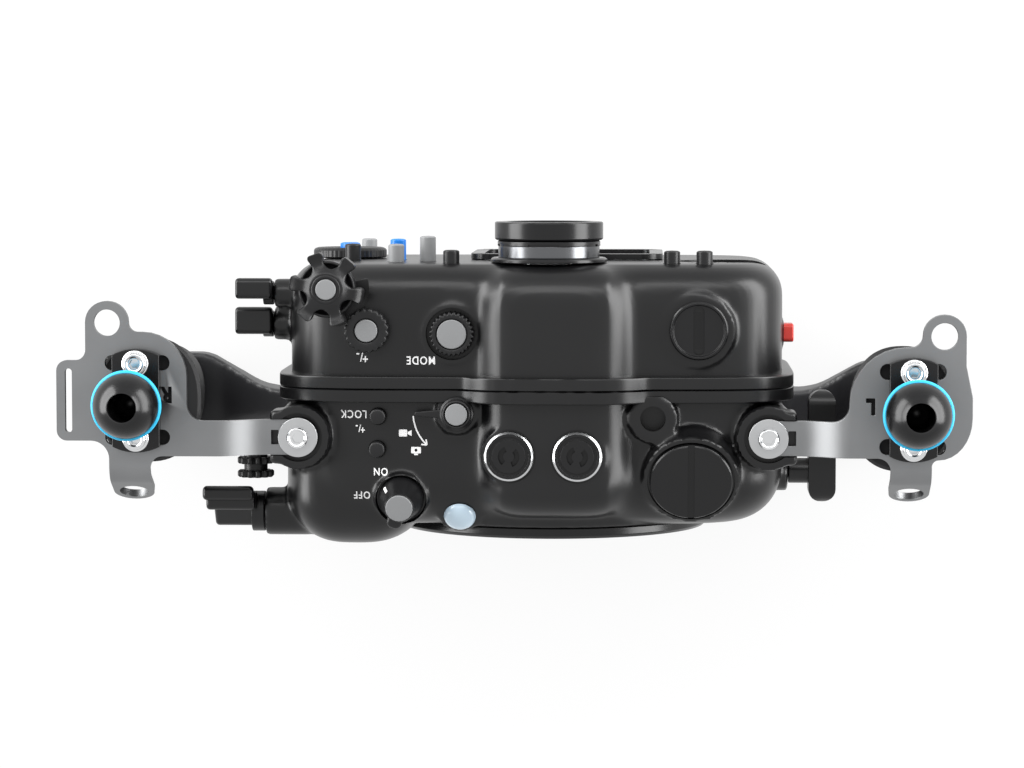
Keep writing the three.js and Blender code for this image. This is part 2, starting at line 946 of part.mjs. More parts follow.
function frontShell() {
  const portHole = rodY(port.boreRadius + fit, -bulge.depth - overrun, 0, 0, port.centreZ, largeFacets);
  const ringRoom = port.ringRadius + fit * 2;
  const ringClearance = rodY(ringRoom, -bulge.depth - overrun, portSeatY, 0, port.centreZ, largeFacets);
  const outside = joined(
    common(outerSkin(), halfSpace(true)),
    common(bulgeSkin(), halfSpace(true)),
    rodY(port.bossRadius, portSeatY, -shell.frontDepth + shell.frontRounding, 0, port.centreZ, largeFacets),
    seatBoss(seats.power, powerSwitch.bossRadius),
    seatBoss(seats.drive, driveLever.bossRadius),
    seatBoss(seats.lamp, lamp.bossRadius),
    seatBoss(seats.cap, bulkheadCap.bossRadius),
    seatBoss(seats.accessory, accessoryBoss.radius, accessoryBoss.rise + shell.wall),
    ...Object.values(plugSeats).map((seat) => seatBoss(seat, bulkheadPlug.bossRadius)),
    ...Object.values(sides).flatMap(clevisBoss),
    sideBoss(shutterSeat, shutterLever.bossRadius),
    sideBoss(portLeverSeat, portLever.bossRadius),
    ...frontDialBoss(),
    basePad(),
  );
  const reach = shell.halfWidth * 2;
  const frontRoom = common(innerSkin(), block(-reach, reach, -reach, overrun, 0, reach));
  const hollow = joined(frontRoom, bulgeHollow());
  const sealGroove = cut(
    outlinePrism(seal.inset - fit, -seal.depth - fit * 2, overrun),
    outlinePrism(seal.inset + seal.width + fit, -shell.wall, overrun * 2),
  );
  return joined(
    cut(
      outside,
      hollow,
      portHole,
      ringClearance,
      sealGroove,
      ...Object.values(sides).flatMap(clevisCuts),
      ...padHoles(),
      seatHole(seats.power, spindle.shaftRadius),
      seatHole(seats.drive, spindle.shaftRadius),
      seatHole(seats.lamp, lamp.stemRadius),
      seatHole(seats.cap, bulkheadCap.stemRadius, middleFacets + smallFacets),
      ...Object.values(plugSeats).map((seat) => seatHole(seat, bulkheadPlug.stemRadius, middleFacets)),
      ...Object.values(topButtonSeats).map((seat) => seatHole(seat, topButton.radius)),
      seatPocket(seats.power, spindle.gearRadius, powerSwitch.bossRise),
      seatPocket(seats.drive, spindle.gearRadius, driveLever.bossRise),
      ...Object.values(topButtonSeats).map((seat) => seatPocket(seat, topButton.clipRadius, 0)),
      seatClearance(seats.drive, driveLever.radius, driveLever.height),
      seatClearance(seats.cap, bulkheadCap.radius, bulkheadCap.radius),
      seatClearance(seats.lamp, lamp.radius, lamp.domeHeight),
      ...Object.values(plugSeats).map((seat) => seatClearance(seat, bulkheadPlug.radius, bulkheadPlug.height)),
      atSeat(rodZ(accessoryBoss.holeRadius, -accessoryBoss.holeDepth, overrun), seats.accessory),
      sideHole(shutterSeat),
      sidePocket(shutterSeat),
      sideHole(portLeverSeat),
      rodY(frontDial.neckRadius + fit, frontDial.bossFront - overrun, frontDial.bossRear + overrun,
        frontDialX, frontDialZ, smallFacets),
    ),
    ...trayRails(),
  );
}

// A push button on the rear face: its axis runs along y
function rearSeat(place) {
  return { x: acrossX(place.acrossShare), z: upZ(place.upShare) };
}

function rearButtonHole(place) {
  const { x, z } = rearSeat(place);
  const ceiling = shell.rearDepth - shell.wall + fit;
  return joined(
    rodY(rearButton.radius + fit, ceiling - fit, shell.rearDepth + overrun, x, z, smallFacets),
    rodY(rearButton.clipRadius + fit * 2, ceiling - shell.wall * 2, ceiling, x, z, smallFacets),
  );
}

const wheelSeat = rearSeat(controlWheel);
const latchSeat = rearSeat(latch);
const latchPocketY = shell.rearDepth - latch.pocketDepth;
const latchButtonY = alongY(latchButton.alongShare);
const latchButtonZ = upZ(latchButton.upShare);

function latchButtonShape(grow) {
  const { width, height, corner } = latchButton;
  return roundedBox(latchButtonY, latchButtonZ, width + grow * 2, height + grow * 2, corner + grow);
}

function rearShell() {
  const { wall, rearDepth } = shell;
  const far = rearDepth + overrun;
  const paneY = rearDepth - screen.paneThickness - fit;
  const { centreX, centreZ, width, height, corner, ledge } = screen;
  const windowHole = roundedBox(centreX, centreZ, width, height, corner);
  const border = (ledge + fit) * 2;
  const paneRecess = roundedBox(centreX, centreZ, width + border, height + border, corner + ledge);
  const outside = joined(
    common(outerSkin(), halfSpace(false)),
    rodY(latch.pocketRadius + wall / 2, latchPocketY - wall, rearDepth - shell.rearRounding / 2,
      latchSeat.x, latchSeat.z),
    seatBoss(seats.star, starDial.bossRadius),
    seatBoss(seats.exposure, exposureDial.bossRadius),
    seatBoss(seats.vacuum, vacuumPlug.bossRadius),
    sideBoss(recordSeat, recordLever.bossRadius),
    sideBoss(afSeat, afLever.bossRadius),
    slabX(latchButtonShape(latchButton.guideBorder), wallX.left - wall, wallX.left + latchButton.guideRise),
  );
  const modeScoop = atSeat(rodZ(modeDial.radius + fit * 5, 0, hump.rise * 2), seats.mode);
  const scoopWall = atSeat(rodZ(modeDial.radius + wall, -wall, 0), seats.mode);
  const latchWall = rodY(latch.pocketRadius + wall / 2, latchPocketY - wall, latchPocketY,
    latchSeat.x, latchSeat.z);
  const reach = shell.halfWidth * 2;
  const rearRoom = common(innerSkin(), block(-reach, reach, -overrun, rearDepth, 0, reach));
  const hollow = cut(rearRoom, scoopWall, latchWall);
  return cut(
    outside,
    hollow,
    modeScoop,
    rodY(latch.pocketRadius, latchPocketY, far * 2, latchSeat.x, latchSeat.z),
    rodY(latch.shaftRadius + fit, latchPocketY - wall * 2, far, latchSeat.x, latchSeat.z, smallFacets),
    slabY(windowHole, rearDepth - wall * 2, far),
    slabY(paneRecess, paneY, far),
    rodY(finder.boreRadius, rearDepth - wall * 3, far, 0, finder.centreZ),
    rodY(finder.lensRadius + fit, rearDepth - finder.lensThickness - fit, far, 0, finder.centreZ),
    seatHole(seats.star, spindle.shaftRadius),
    seatHole(seats.exposure, spindle.shaftRadius),
    seatHole(seats.mode, spindle.shaftRadius),
    seatHole(seats.vacuum, vacuumPlug.stemRadius, middleFacets + smallFacets),
    seatPocket(seats.star, spindle.gearRadius, starDial.bossRise),
    seatPocket(seats.exposure, spindle.gearRadius, exposureDial.bossRise),
    seatPocket(seats.mode, spindle.gearRadius, modeDial.bossRise),
    sideHole(recordSeat),
    sideHole(afSeat),
    sidePocket(recordSeat),
    sidePocket(afSeat),
    rodY(sideShaft.radius + fit, rearDepth - wall * 2, far, wheelSeat.x, wheelSeat.z, smallFacets),
    ...Object.values(rearButtonPlaces).map(rearButtonHole),
    slabX(latchButtonShape(fit), wallX.left - wall * 2, wallX.left + overrun),
  );
}

function mainSeal() {
  const outer = outlinePrism(seal.inset, -seal.depth, -fit / 2);
  return cut(outer, outlinePrism(seal.inset + seal.width, -shell.wall, overrun));
}

// Lens port ring with its bayonet lugs
function portRing() {
  const front = portSeatY - fit - port.ringDepth;
  const seat = portSeatY - fit;
  const tongueEnd = portSeatY + port.tongue;
  const ring = turnedY([
    [port.throatRadius, tongueEnd],
    [port.throatRadius, front + port.lip],
    [port.throatRadius + port.lip, front],
    [port.ringRadius - port.lip, front],
    [port.ringRadius, front + port.lip],
    [port.ringRadius, seat],
    [port.boreRadius, seat],
    [port.boreRadius, tongueEnd],
    [port.throatRadius, tongueEnd],
  ], 0, port.centreZ, largeFacets);
  const lugs = [];
  for (let i = 0; i < port.lugCount; i++) {
    const start = (2 * Math.PI * i) / port.lugCount - port.lugSpan / 2;
    const shape = new THREE.Shape();
    shape.absarc(0, 0, port.throatRadius + port.lip, start, start + port.lugSpan, false);
    shape.absarc(0, 0, port.lugRadius, start + port.lugSpan, start, true);
    const lugEnd = front + port.lip + port.lugDepth;
    lugs.push(slabY(shape, front + port.lip, lugEnd).translate(0, 0, port.centreZ));
  }
  return joined(ring, ...lugs);
}

// Rear window and its frame
function rearWindow() {
  const { centreX, centreZ, width, height, corner, ledge } = screen;
  const pane = roundedBox(centreX, centreZ, width + ledge * 2, height + ledge * 2, corner + ledge - fit);
  return slabY(pane, shell.rearDepth - screen.paneThickness, shell.rearDepth);
}

function windowFrame() {
  const { frameBorder, frameThickness, corner, width, height, centreX, centreZ } = screen;
  const rear = shell.rearDepth + fit;
  const [across, up] = [width + frameBorder * 2, height + frameBorder * 2];
  const outer = roundedBox(centreX, centreZ, across, up, corner + frameBorder);
  const inner = roundedBox(centreX, centreZ, width, height, corner);
  const far = rear + frameThickness;
  return cut(slabY(outer, rear, far), slabY(inner, rear - overrun, far + overrun));
}

// Finder: a steel mount with a groove, a black ring on it, and the eye lens
const finderMountRear = shell.rearDepth + fit + finder.flangeDepth + finder.neckDepth;

function finderMount() {
  const seat = shell.rearDepth + fit;
  const flange = seat + finder.flangeDepth;
  const groove = finder.neckDepth / 3;
  return turnedY([
    [finder.boreRadius, seat],
    [finder.flangeRadius, seat],
    [finder.flangeRadius, flange],
    [finder.neckRadius, flange],
    [finder.neckRadius, flange + groove],
    [finder.neckRadius - finder.grooveDepth, flange + groove],
    [finder.neckRadius - finder.grooveDepth, flange + groove * 2],
    [finder.neckRadius, flange + groove * 2],
    [finder.neckRadius, finderMountRear],
    [finder.boreRadius, finderMountRear],
    [finder.boreRadius, seat],
  ], 0, finder.centreZ);
}

function finderRing() {
  const front = finderMountRear + fit;
  const rear = front + finder.ringDepth;
  const inner = finder.ringRadius - finder.ringWall;
  const edge = finder.ringWall / 6;
  return turnedY([
    [inner, front],
    [finder.ringRadius - edge, front],
    [finder.ringRadius, front + edge],
    [finder.ringRadius, rear - edge],
    [finder.ringRadius - edge, rear],
    [inner + edge, rear],
    [inner, rear - edge],
    [inner, front],
  ], 0, finder.centreZ);
}

function finderLens() {
  const rear = shell.rearDepth;
  const front = rear - finder.lensThickness;
  const edge = finder.boreRadius - finder.lensCrown;
  return turnedY([
    [0, front],
    [finder.lensRadius, front],
    [finder.lensRadius, rear],
    [edge, rear],
    [edge * finder.crownReachShare, rear + finder.lensCrown * finder.crownRiseShare],
    [0, rear + finder.lensCrown],
  ], 0, finder.centreZ);
}

// Toothed outline of a dial
function toothedShape(radius, teeth, depth) {
  const points = [];
  for (let i = 0; i < teeth; i++) {
    for (const [turnShare, depthShare] of [[0, 0], [0.4, 0], [0.7, 1]]) {
      const turn = (2 * Math.PI * (i + turnShare)) / teeth;
      const r = radius - depthShare * depth;
      points.push(new THREE.Vector2(r * Math.cos(turn), r * Math.sin(turn)));
    }
  }
  return new THREE.Shape(points);
}

// A dial on a vertical spindle, on its boss at z = 0, with a recess for the head of the spindle
function spindleBore(height, capRadius) {
  return [
    rodZ(spindle.shaftRadius + fit, -overrun, height + overrun, 0, 0, smallFacets),
    rodZ(capRadius + fit, height - spindle.capThickness, height + overrun, 0, 0, middleFacets),
  ];
}

function toothedDial(dial) {
  const { radius, height, teeth, capRadius } = dial;
  const body = slabZ(toothedShape(radius, teeth, knurl.depth), fit, height - knurl.chamfer);
  const crown = turned([
    [0, fit + knurl.chamfer],
    [radius - knurl.depth, fit + knurl.chamfer],
    [radius - knurl.depth, height - knurl.chamfer],
    [radius - knurl.depth - knurl.chamfer, height],
    [0, height],
  ]);
  return cut(joined(body, crown), ...spindleBore(height, capRadius));
}

// The head, shaft and inner gear that a dial turns
function dialSpindle(height, capRadius, bossRise) {
  const { shaftRadius, capThickness, capProud, tail, gearRadius, gearDepth } = spindle;
  const top = height + capProud;
  const gearTop = -(Math.max(bossRise, 0) + shell.wall + tail / 2);
  return turned([
    [0, gearTop - gearDepth],
    [gearRadius, gearTop - gearDepth],
    [gearRadius, gearTop],
    [shaftRadius, gearTop],
    [shaftRadius, height - capThickness + fit],
    [capRadius, height - capThickness + fit],
    [capRadius, top],
    [0, top],
  ], smallFacets);
}

function starDialBody() {
  const { dishRadius, dishHeight, tipRadius, tipWidth, tipDepth, spokeWidth, spokeHeight, spokes } = starDial;
  const height = dishHeight + spokeHeight;
  const rim = dishRadius - spokeWidth / 2;
  const pieces = [
    turned([
      [0, fit],
      [dishRadius * starDial.footShare, fit],
      [dishRadius, fit + dishHeight * starDial.shoulderShare],
      [dishRadius, dishHeight],
      [rim, dishHeight],
      [rim, dishHeight - knurl.depth],
      [0, dishHeight - knurl.depth],
    ]),
    turned([
      [0, dishHeight - spokeHeight / 2],
      [starDial.capRadius + spokeWidth / 2, dishHeight - spokeHeight / 2],
      [starDial.capRadius + spokeWidth / 2, height - knurl.chamfer],
      [starDial.capRadius + spokeWidth / 2 - knurl.chamfer, height],
      [0, height],
    ]),
  ];
  const spoke = roundedPolygon([
    [0, -spokeWidth / 2, 0],
    [tipRadius - tipDepth * 2, -spokeWidth / 2, 0],
    [tipRadius - tipDepth / 2, -tipWidth / 2, 0],
    [tipRadius, -starDial.tipFlat / 2, 0],
    [tipRadius, starDial.tipFlat / 2, 0],
    [tipRadius - tipDepth / 2, tipWidth / 2, 0],
    [tipRadius - tipDepth * 2, spokeWidth / 2, 0],
    [0, spokeWidth / 2, 0],
  ]);
  for (let i = 0; i < spokes; i++) {
    const blade = slabZ(spoke, dishHeight - knurl.depth - fit, height - knurl.chamfer);
    pieces.push(blade.rotateZ((2 * Math.PI * (i + starDial.turnShare)) / spokes));
  }
  return cut(joined(...pieces), ...spindleBore(height, starDial.capRadius));
}

function powerSwitchBody() {
  const { skirtRadius, skirtHeight, knobRadius, knobHeight, wingLength, wingWidth, capRadius } = powerSwitch;
  const edge = knurl.chamfer;
  const body = turned([
    [0, fit],
    [skirtRadius, fit],
    [skirtRadius, skirtHeight - edge * 2],
    [skirtRadius - edge * 2, skirtHeight],
    [knobRadius, skirtHeight + edge],
    [knobRadius, knobHeight - edge],
    [knobRadius - edge, knobHeight],
    [0, knobHeight],
  ]);
  const wing = roundedBox(0, (wingLength - knobRadius) / 2, wingWidth, wingLength + knobRadius, edge * 2);
  const whole = joined(body, slabZ(wing, skirtHeight / 2, knobHeight - edge * 2));
  return cut(whole, ...spindleBore(knobHeight, capRadius));
}

function driveLeverBody() {
  const { radius, height, armReach, armWidth, armHeight, capRadius } = driveLever;
  const edge = knurl.chamfer;
  const hub = turned([
    [0, fit],
    [radius, fit],
    [radius, height - edge],
    [radius - edge, height],
    [0, height],
  ]);
  const armShape = roundedPolygon([
    [0, -armWidth, 0],
    [-armReach, -armWidth / 3, armWidth / 4],
    [-armReach, armWidth / 3, armWidth / 4],
    [0, armWidth, 0],
  ]);
  return cut(joined(hub, slabZ(armShape, fit, fit + armHeight)), ...spindleBore(height, capRadius));
}

// A button on a vertical stem, held by a clip inside the wall
function topButtonBody() {
  const { radius, proud, tail, clipRadius, clipDepth, travel } = topButton;
  const clipTop = -(shell.wall + travel / 2);
  const edge = knurl.chamfer;
  return turned([
    [0, clipTop - tail],
    [radius, clipTop - tail],
    [clipRadius, clipTop - clipDepth],
    [clipRadius, clipTop],
    [radius, clipTop],
    [radius, proud - edge],
    [radius - edge, proud],
    [0, proud],
  ], smallFacets);
}

function rearButtonBody(place) {
  const { radius, tail, clipRadius, clipDepth, travel, chamfer } = rearButton;
  const { x, z } = rearSeat(place);
  const tip = shell.rearDepth + place.proud;
  const clip = shell.rearDepth - shell.wall - travel / 2;
  return turnedY([
    [0, clip - tail],
    [radius, clip - tail],
    [clipRadius, clip - clipDepth],
    [clipRadius, clip],
    [radius, clip],
    [radius, tip - chamfer],
    [radius - chamfer, tip],
    [0, tip],
  ], x, z, smallFacets);
}

function leakLamp() {
  const { radius, domeHeight, stemRadius } = lamp;
  const profile = [[0, -shell.wall], [stemRadius, -shell.wall], [stemRadius, fit], [radius, fit]];
  for (let step = 1; step <= filletSteps; step++) {
    const angle = (quarter * step) / filletSteps;
    profile.push([radius * Math.cos(angle), fit + domeHeight * Math.sin(angle)]);
  }
  profile[profile.length - 1][0] = 0;
  return turned(profile, smallFacets);
}

// A round blanking plug: its disc lies on the boss, and its stem fills the port
function bulkheadPlugBody() {
  const { radius, height, grooveRadius, grooveDepth, grooveWidth } = bulkheadPlug;
  const { stemRadius, keyRadius, keyDepth } = bulkheadPlug;
  const edge = knurl.chamfer;
  const disc = turned([
    [0, -shell.wall],
    [stemRadius, -shell.wall],
    [stemRadius, fit],
    [radius, fit],
    [radius, height - edge],
    [radius - edge, height],
    [grooveRadius, height],
    [grooveRadius, height - grooveDepth],
    [grooveRadius - grooveWidth, height - grooveDepth],
    [grooveRadius - grooveWidth, height],
    [0, height],
  ]);
  return cut(disc, rodZ(keyRadius, height - keyDepth, height + overrun, 0, 0, hexFacets));
}

function slottedCap(cap, rim, sink) {
  const { radius, height, slotWidth, slotDepth, stemRadius } = cap;
  const edge = knurl.chamfer;
  const face = height - sink;
  const disc = turned([
    [0, -shell.wall],
    [stemRadius, -shell.wall],
    [stemRadius, fit],
    [radius, fit],
    [radius, height - edge],
    [radius - edge, height],
    [radius - rim, height],
    [radius - rim, face],
    [0, face],
  ], middleFacets + smallFacets);
  const reach = radius - rim;
  return cut(disc, block(-slotWidth / 2, slotWidth / 2, -reach, reach, face - slotDepth, height + overrun));
}

// Levers on the side walls
function sideLeverShaft(seat, hubRadius, hubDepth) {
  const inner = seat.wall - seat.sign * (shell.wall + sideShaft.tail);
  const near = seat.x + seat.sign * fit;
  const clip = inner + seat.sign * sideShaft.clipDepth;
  return [
    rodX(sideShaft.radius, inner, near + seat.sign * hubDepth / 2, seat.y, seat.z, smallFacets),
    rodX(sideShaft.clipRadius, inner, clip, seat.y, seat.z, smallFacets),
    rodX(hubRadius, near, near + seat.sign * hubDepth, seat.y, seat.z, smallFacets),
  ];
}

function thumbLever(lever, seat) {
  const { hubRadius, hubDepth, padReach, padBack, padRise, padWidth, padThickness } = lever;
  const near = seat.x + seat.sign * fit;
  const tip = seat.wall + seat.sign * padReach;
  const padY = seat.y + padBack;
  const padZ = seat.z + padRise;
  const pad = roundedBox(padY, padZ, padWidth, padThickness, padThickness / 3);
  const armShape = roundedPolygon([
    [seat.y - hubRadius, seat.z, 0],
    [padY - padWidth / 3, padZ + padThickness / 4, padThickness / 4],
    [padY + padWidth / 3, padZ + padThickness / 4, padThickness / 4],
    [seat.y + hubRadius, seat.z, 0],
  ]);
  const armEnd = near + seat.sign * hubDepth;
  return joined(
    ...sideLeverShaft(seat, hubRadius, hubDepth),
    slabX(armShape, Math.min(near, armEnd), Math.max(near, armEnd)),
    slabX(pad, Math.min(tip, near), Math.max(tip, near)),
  );
}

function shutterLeverBody() {
  const { hubRadius, hubDepth, barLength, barThickness, barBack, barRise } = shutterLever;
  const { heelDrop, heelFront, heelBack, endShare } = shutterLever;
  const seat = shutterSeat;
  const hubEnd = seat.x + seat.sign * (fit + hubDepth);
  const tip = hubEnd + seat.sign * barLength;
  const bladeStart = hubEnd - (seat.sign * hubDepth) / 2;
  const half = barThickness / 2;
  const blade = roundedPolygon([
    [seat.y - heelFront, seat.z - heelDrop, half],
    [seat.y + heelBack, seat.z - heelDrop, half],
    [seat.y + barBack + half, seat.z + barRise - half, barThickness * endShare],
    [seat.y + barBack - half, seat.z + barRise + half, barThickness * endShare],
    [seat.y - heelFront, seat.z + heelDrop, half],
  ]);
  return joined(
    ...sideLeverShaft(seat, hubRadius, hubDepth),
    slabX(blade, Math.min(bladeStart, tip), Math.max(bladeStart, tip)),
  );
}

function portLeverBody() {
  const { hubRadius, hubReach, barWidth, barHeight, barRear, barFront } = portLever;
  const seat = portLeverSeat;
  const barStart = seat.wall + hubReach;
  const bar = roundedPolygon([
    [seat.y - barFront, seat.z - barHeight / 2, barHeight * roundEndShare],
    [seat.y + barRear, seat.z - barHeight / 2, barHeight * roundEndShare],
    [seat.y + barRear, seat.z + barHeight / 2, barHeight * roundEndShare],
    [seat.y - barFront, seat.z + barHeight / 2, barHeight * roundEndShare],
  ]);
  const outline = roundedPolygon([
    [barStart, seat.y - barFront, barWidth * roundEndShare],
    [barStart + barWidth, seat.y - barFront, barWidth * roundEndShare],
    [barStart + barWidth, seat.y + barRear, barWidth * roundEndShare],
    [barStart, seat.y + barRear, barWidth * roundEndShare],
  ]);
  const body = common(slabX(bar, barStart, barStart + barWidth),
    slabZ(outline, seat.z - barHeight, seat.z + barHeight));
  return joined(...sideLeverShaft(seat, hubRadius, barStart - seat.x), body);
}

// A small spool wheel in front of its boss, on a shaft along y
function frontDialBody() {
  const { front, width, radius, waistRadius, teeth, toothDepth } = frontDial;
  const { neckRadius, bossFront, bossRear, clipRadius, clipDepth } = frontDial;
  const rear = front + width;
  const third = width / 3;
  const rims = [front, rear - third].map((start) =>
    slabY(toothedShape(radius, teeth, toothDepth), start, start + third).translate(frontDialX, 0, frontDialZ));
  return joined(
    ...rims,
    rodY(waistRadius, front + third / 2, rear - third / 2, frontDialX, frontDialZ, smallFacets),
    rodY(neckRadius, front + third, bossRear + fit + clipDepth, frontDialX, frontDialZ, smallFacets),
    rodY(waistRadius, rear - third / 2, bossFront - fit, frontDialX, frontDialZ, smallFacets),
    rodY(clipRadius, bossRear + fit, bossRear + fit + clipDepth, frontDialX, frontDialZ, smallFacets),
  );
}

function controlWheelBody() {
  const { radius, depth, teeth, buttonRadius } = controlWheel;
  const near = shell.rearDepth + fit;
  const inner = shell.rearDepth - shell.wall - sideShaft.tail / 2;
  const rim = slabY(toothedShape(radius, teeth, knurl.depth), near, near + depth - knurl.chamfer);
  const face = turnedY([
    [0, near],
    [radius - knurl.depth, near],
    [radius - knurl.depth, near + depth - knurl.chamfer],
    [radius - knurl.depth * 2, near + depth],
    [buttonRadius + knurl.depth, near + depth],
    [buttonRadius + knurl.depth, near + depth - knurl.depth],
    [buttonRadius, near + depth - knurl.depth],
    [buttonRadius, near + depth + knurl.chamfer],
    [0, near + depth + knurl.chamfer],
  ], 0, 0);
  const shaft = rodY(sideShaft.radius, inner, near + depth / 2, 0, 0, smallFacets);
  const clip = rodY(sideShaft.clipRadius, inner - sideShaft.clipDepth, inner, 0, 0, smallFacets);
  return joined(rim, face, shaft, clip);
}

function latchKnob() {
  const { knobRadius, knobDepth, gripWidth, gripLength, gripDepth } = latch;
  const { shaftRadius, camWidth, camLength, camDepth, camHubRadius } = latch;
  const near = latchPocketY + fit;
  const edge = knurl.chamfer;
  const inner = latchPocketY - shell.wall - fit;
  const disc = turnedY([
    [0, near],
    [knobRadius, near],
    [knobRadius, near + knobDepth - edge],
    [knobRadius - edge, near + knobDepth],
    [0, near + knobDepth],
  ], 0, 0);
  const gripShape = roundedBox(0, 0, gripWidth, gripLength, gripWidth / 3);
  const gripBar = slabY(gripShape, near, near + knobDepth + gripDepth);
  const shaft = rodY(shaftRadius, inner - camDepth, near + knobDepth / 2, 0, 0, smallFacets);
  const cam = slabY(roundedBox(0, 0, camWidth, camLength, camWidth / 3), inner - camDepth, inner);
  return joined(disc, gripBar, shaft, cam, rodY(camHubRadius, inner - camDepth, inner, 0, 0, smallFacets));
}

function latchButtonBody() {
  const { proud, tail, clip, clipDepth, travel } = latchButton;
  const inner = wallX.left - shell.wall - travel / 2;
  return joined(
    slabX(latchButtonShape(0), inner - tail, wallX.left + proud),
    slabX(latchButtonShape(clip), inner - clipDepth, inner),
  );
}

// Outline of the bracket over a grip, in distances outward and rearward from the ball
const webbingPlate = {
  innerEdge: 18.9,
  topEdge: 26.1,
  topCorner: 17,
  lobeOut: 11.65,
  lobeBack: 29.6,
  lobeFillet: 3.5,
  loopEdge: 31.2,
  loopTop: 15.2,
  loopBottom: -15.7,
  loopCorner: 4,
  loopFillet: 7,
  tabCentre: 3.25,
  slotEdge: 3.3,
  slotWidth: 2.7,
  slotLength: 24.6,
};
const roundPlate = {
  innerEdge: 24,
  topEdge: 23.6,
  topCorner: 21.5,
  lobeOut: 11.9,
  lobeBack: 27.8,
  lobeFillet: 4.5,
  outerEdge: 22.7,
  outerBottom: -19.4,
  outerBottomCorner: 16,
  outerTurn: 4.5,
  outerTurnCorner: 12,
  tabCentre: -0.4,
};

function bracketCorners(side) {
  const form = side.name === "right" ? webbingPlate : roundPlate;
  const strapBack = clevis.y + strap.width / 2 - side.ballY;
  const strapFront = strapBack - strap.width;
  const strapEnd = -(side.sign * side.ballX - side.sign * clevisX[side.name]) - strap.endRadius;
  const tabFront = -plate.tabDrop - side.ballY;
  const tabInner = form.tabCentre - plate.tabWidth / 2;
  const tabOuter = form.tabCentre + plate.tabWidth / 2;
  const lobeInner = form.lobeOut - plate.lobeRadius;
  const lobeOuter = form.lobeOut + plate.lobeRadius;
  const lobeTop = form.lobeBack + plate.lobeRadius;
  const start = [
    [strapEnd, strapBack, strap.endRadius],
    [strapEnd, strapFront, strap.endRadius],
    [tabInner, strapFront, plate.tabFillet],
    [tabInner, tabFront, 0],
    [tabOuter, tabFront, 0],
  ];
  const outside = side.name === "right" ? [
    [tabOuter, form.loopBottom, form.loopFillet],
    [form.loopEdge, form.loopBottom, form.loopCorner],
    [form.loopEdge, form.loopTop, form.loopCorner],
    [lobeOuter, form.loopTop, form.loopCorner],
  ] : [
    [tabOuter, form.outerBottom, plate.tabFillet / 2],
    [form.outerEdge, form.outerBottom, form.outerBottomCorner],
    [form.outerEdge, form.outerTurn, form.outerTurnCorner / 2],
    [lobeOuter, form.outerTurn + form.outerTurnCorner, form.outerTurnCorner / 2],
  ];
  const end = [
    [lobeOuter, lobeTop, plate.lobeRadius * 2 * roundEndShare],
    [lobeInner, lobeTop, plate.lobeRadius * 2 * roundEndShare],
    [lobeInner, form.topEdge, form.lobeFillet],
    [-form.innerEdge, form.topEdge, form.topCorner],
    [-form.innerEdge, strapBack, plate.strapFillet],
  ];
  return [...start, ...outside, ...end].map(([out, back, radius]) =>
    [side.ballX + side.sign * out, side.ballY + back, radius]);
}

// The sheet seen from the front: the plate, the joggle and the strap down to the clevis
function strapProfile(side) {
  const sheet = strap.thickness;
  const near = clevisX[side.name] + side.sign * strap.joggleNear;
  const far = clevisX[side.name] + side.sign * strap.joggleFar;
  const inner = clevisX[side.name] - side.sign * clevis.radius;
  const outer = side.ballX + side.sign * strap.reach;
  const bend = strap.bendRadius;
  return roundedPolygon([
    [inner, strapTopZ - sheet, 0],
    [near, strapTopZ - sheet, bend],
    [far, plate.topZ - sheet, bend + sheet],
    [outer, plate.topZ - sheet, 0],
    [outer, plate.topZ, 0],
    [far, plate.topZ, bend],
    [near, strapTopZ, bend + sheet],
    [inner, strapTopZ, 0],
  ]);
}

function slotZ(x, y, length, width) {
  const top = plate.topZ + overrun;
  const bottom = plate.topZ - strap.thickness - overrun;
  return slabZ(roundedBox(x, y, length, width, Math.min(length, width) * roundEndShare), bottom, top);
}

// The tab bent down at the front of the plate, drawn in y and z and cut to its round end
function bentTab(side, centreX) {
  const { topZ, tabDrop, bendRadius, bendAngle, tabLength, tabWidth, tabHoleRadius } = plate;
  const sheet = strap.thickness;
  const front = -tabDrop;
  const outerRadius = bendRadius + sheet;
  const shape = new THREE.Shape();
  const centreZ = topZ - outerRadius;
  const end = new THREE.Vector2(-Math.cos(bendAngle), -Math.sin(bendAngle)).multiplyScalar(tabLength);
  const direction = quarter + bendAngle;
  const eyeY = front + outerRadius * Math.cos(direction) + end.x;
  const eyeZ = centreZ + outerRadius * Math.sin(direction) + end.y;
  shape.moveTo(front + fit, topZ - sheet);
  shape.lineTo(front + fit, topZ);
  shape.lineTo(front, topZ);
  shape.absarc(front, centreZ, outerRadius, quarter, direction, false);
  shape.lineTo(eyeY, eyeZ);
  shape.lineTo(eyeY - sheet * Math.cos(direction), eyeZ - sheet * Math.sin(direction));
  shape.absarc(front, centreZ, bendRadius, direction, quarter, true);
  const strip = slabX(shape, centreX - tabWidth / 2, centreX + tabWidth / 2);
  const turnedDown = (item) => item.rotateX(bendAngle).translate(centreX, eyeY, eyeZ);
  return cut(joined(strip, turnedDown(rodZ(tabWidth / 2, -sheet, 0))),
    turnedDown(rodZ(tabHoleRadius, -sheet - overrun, overrun)));
}

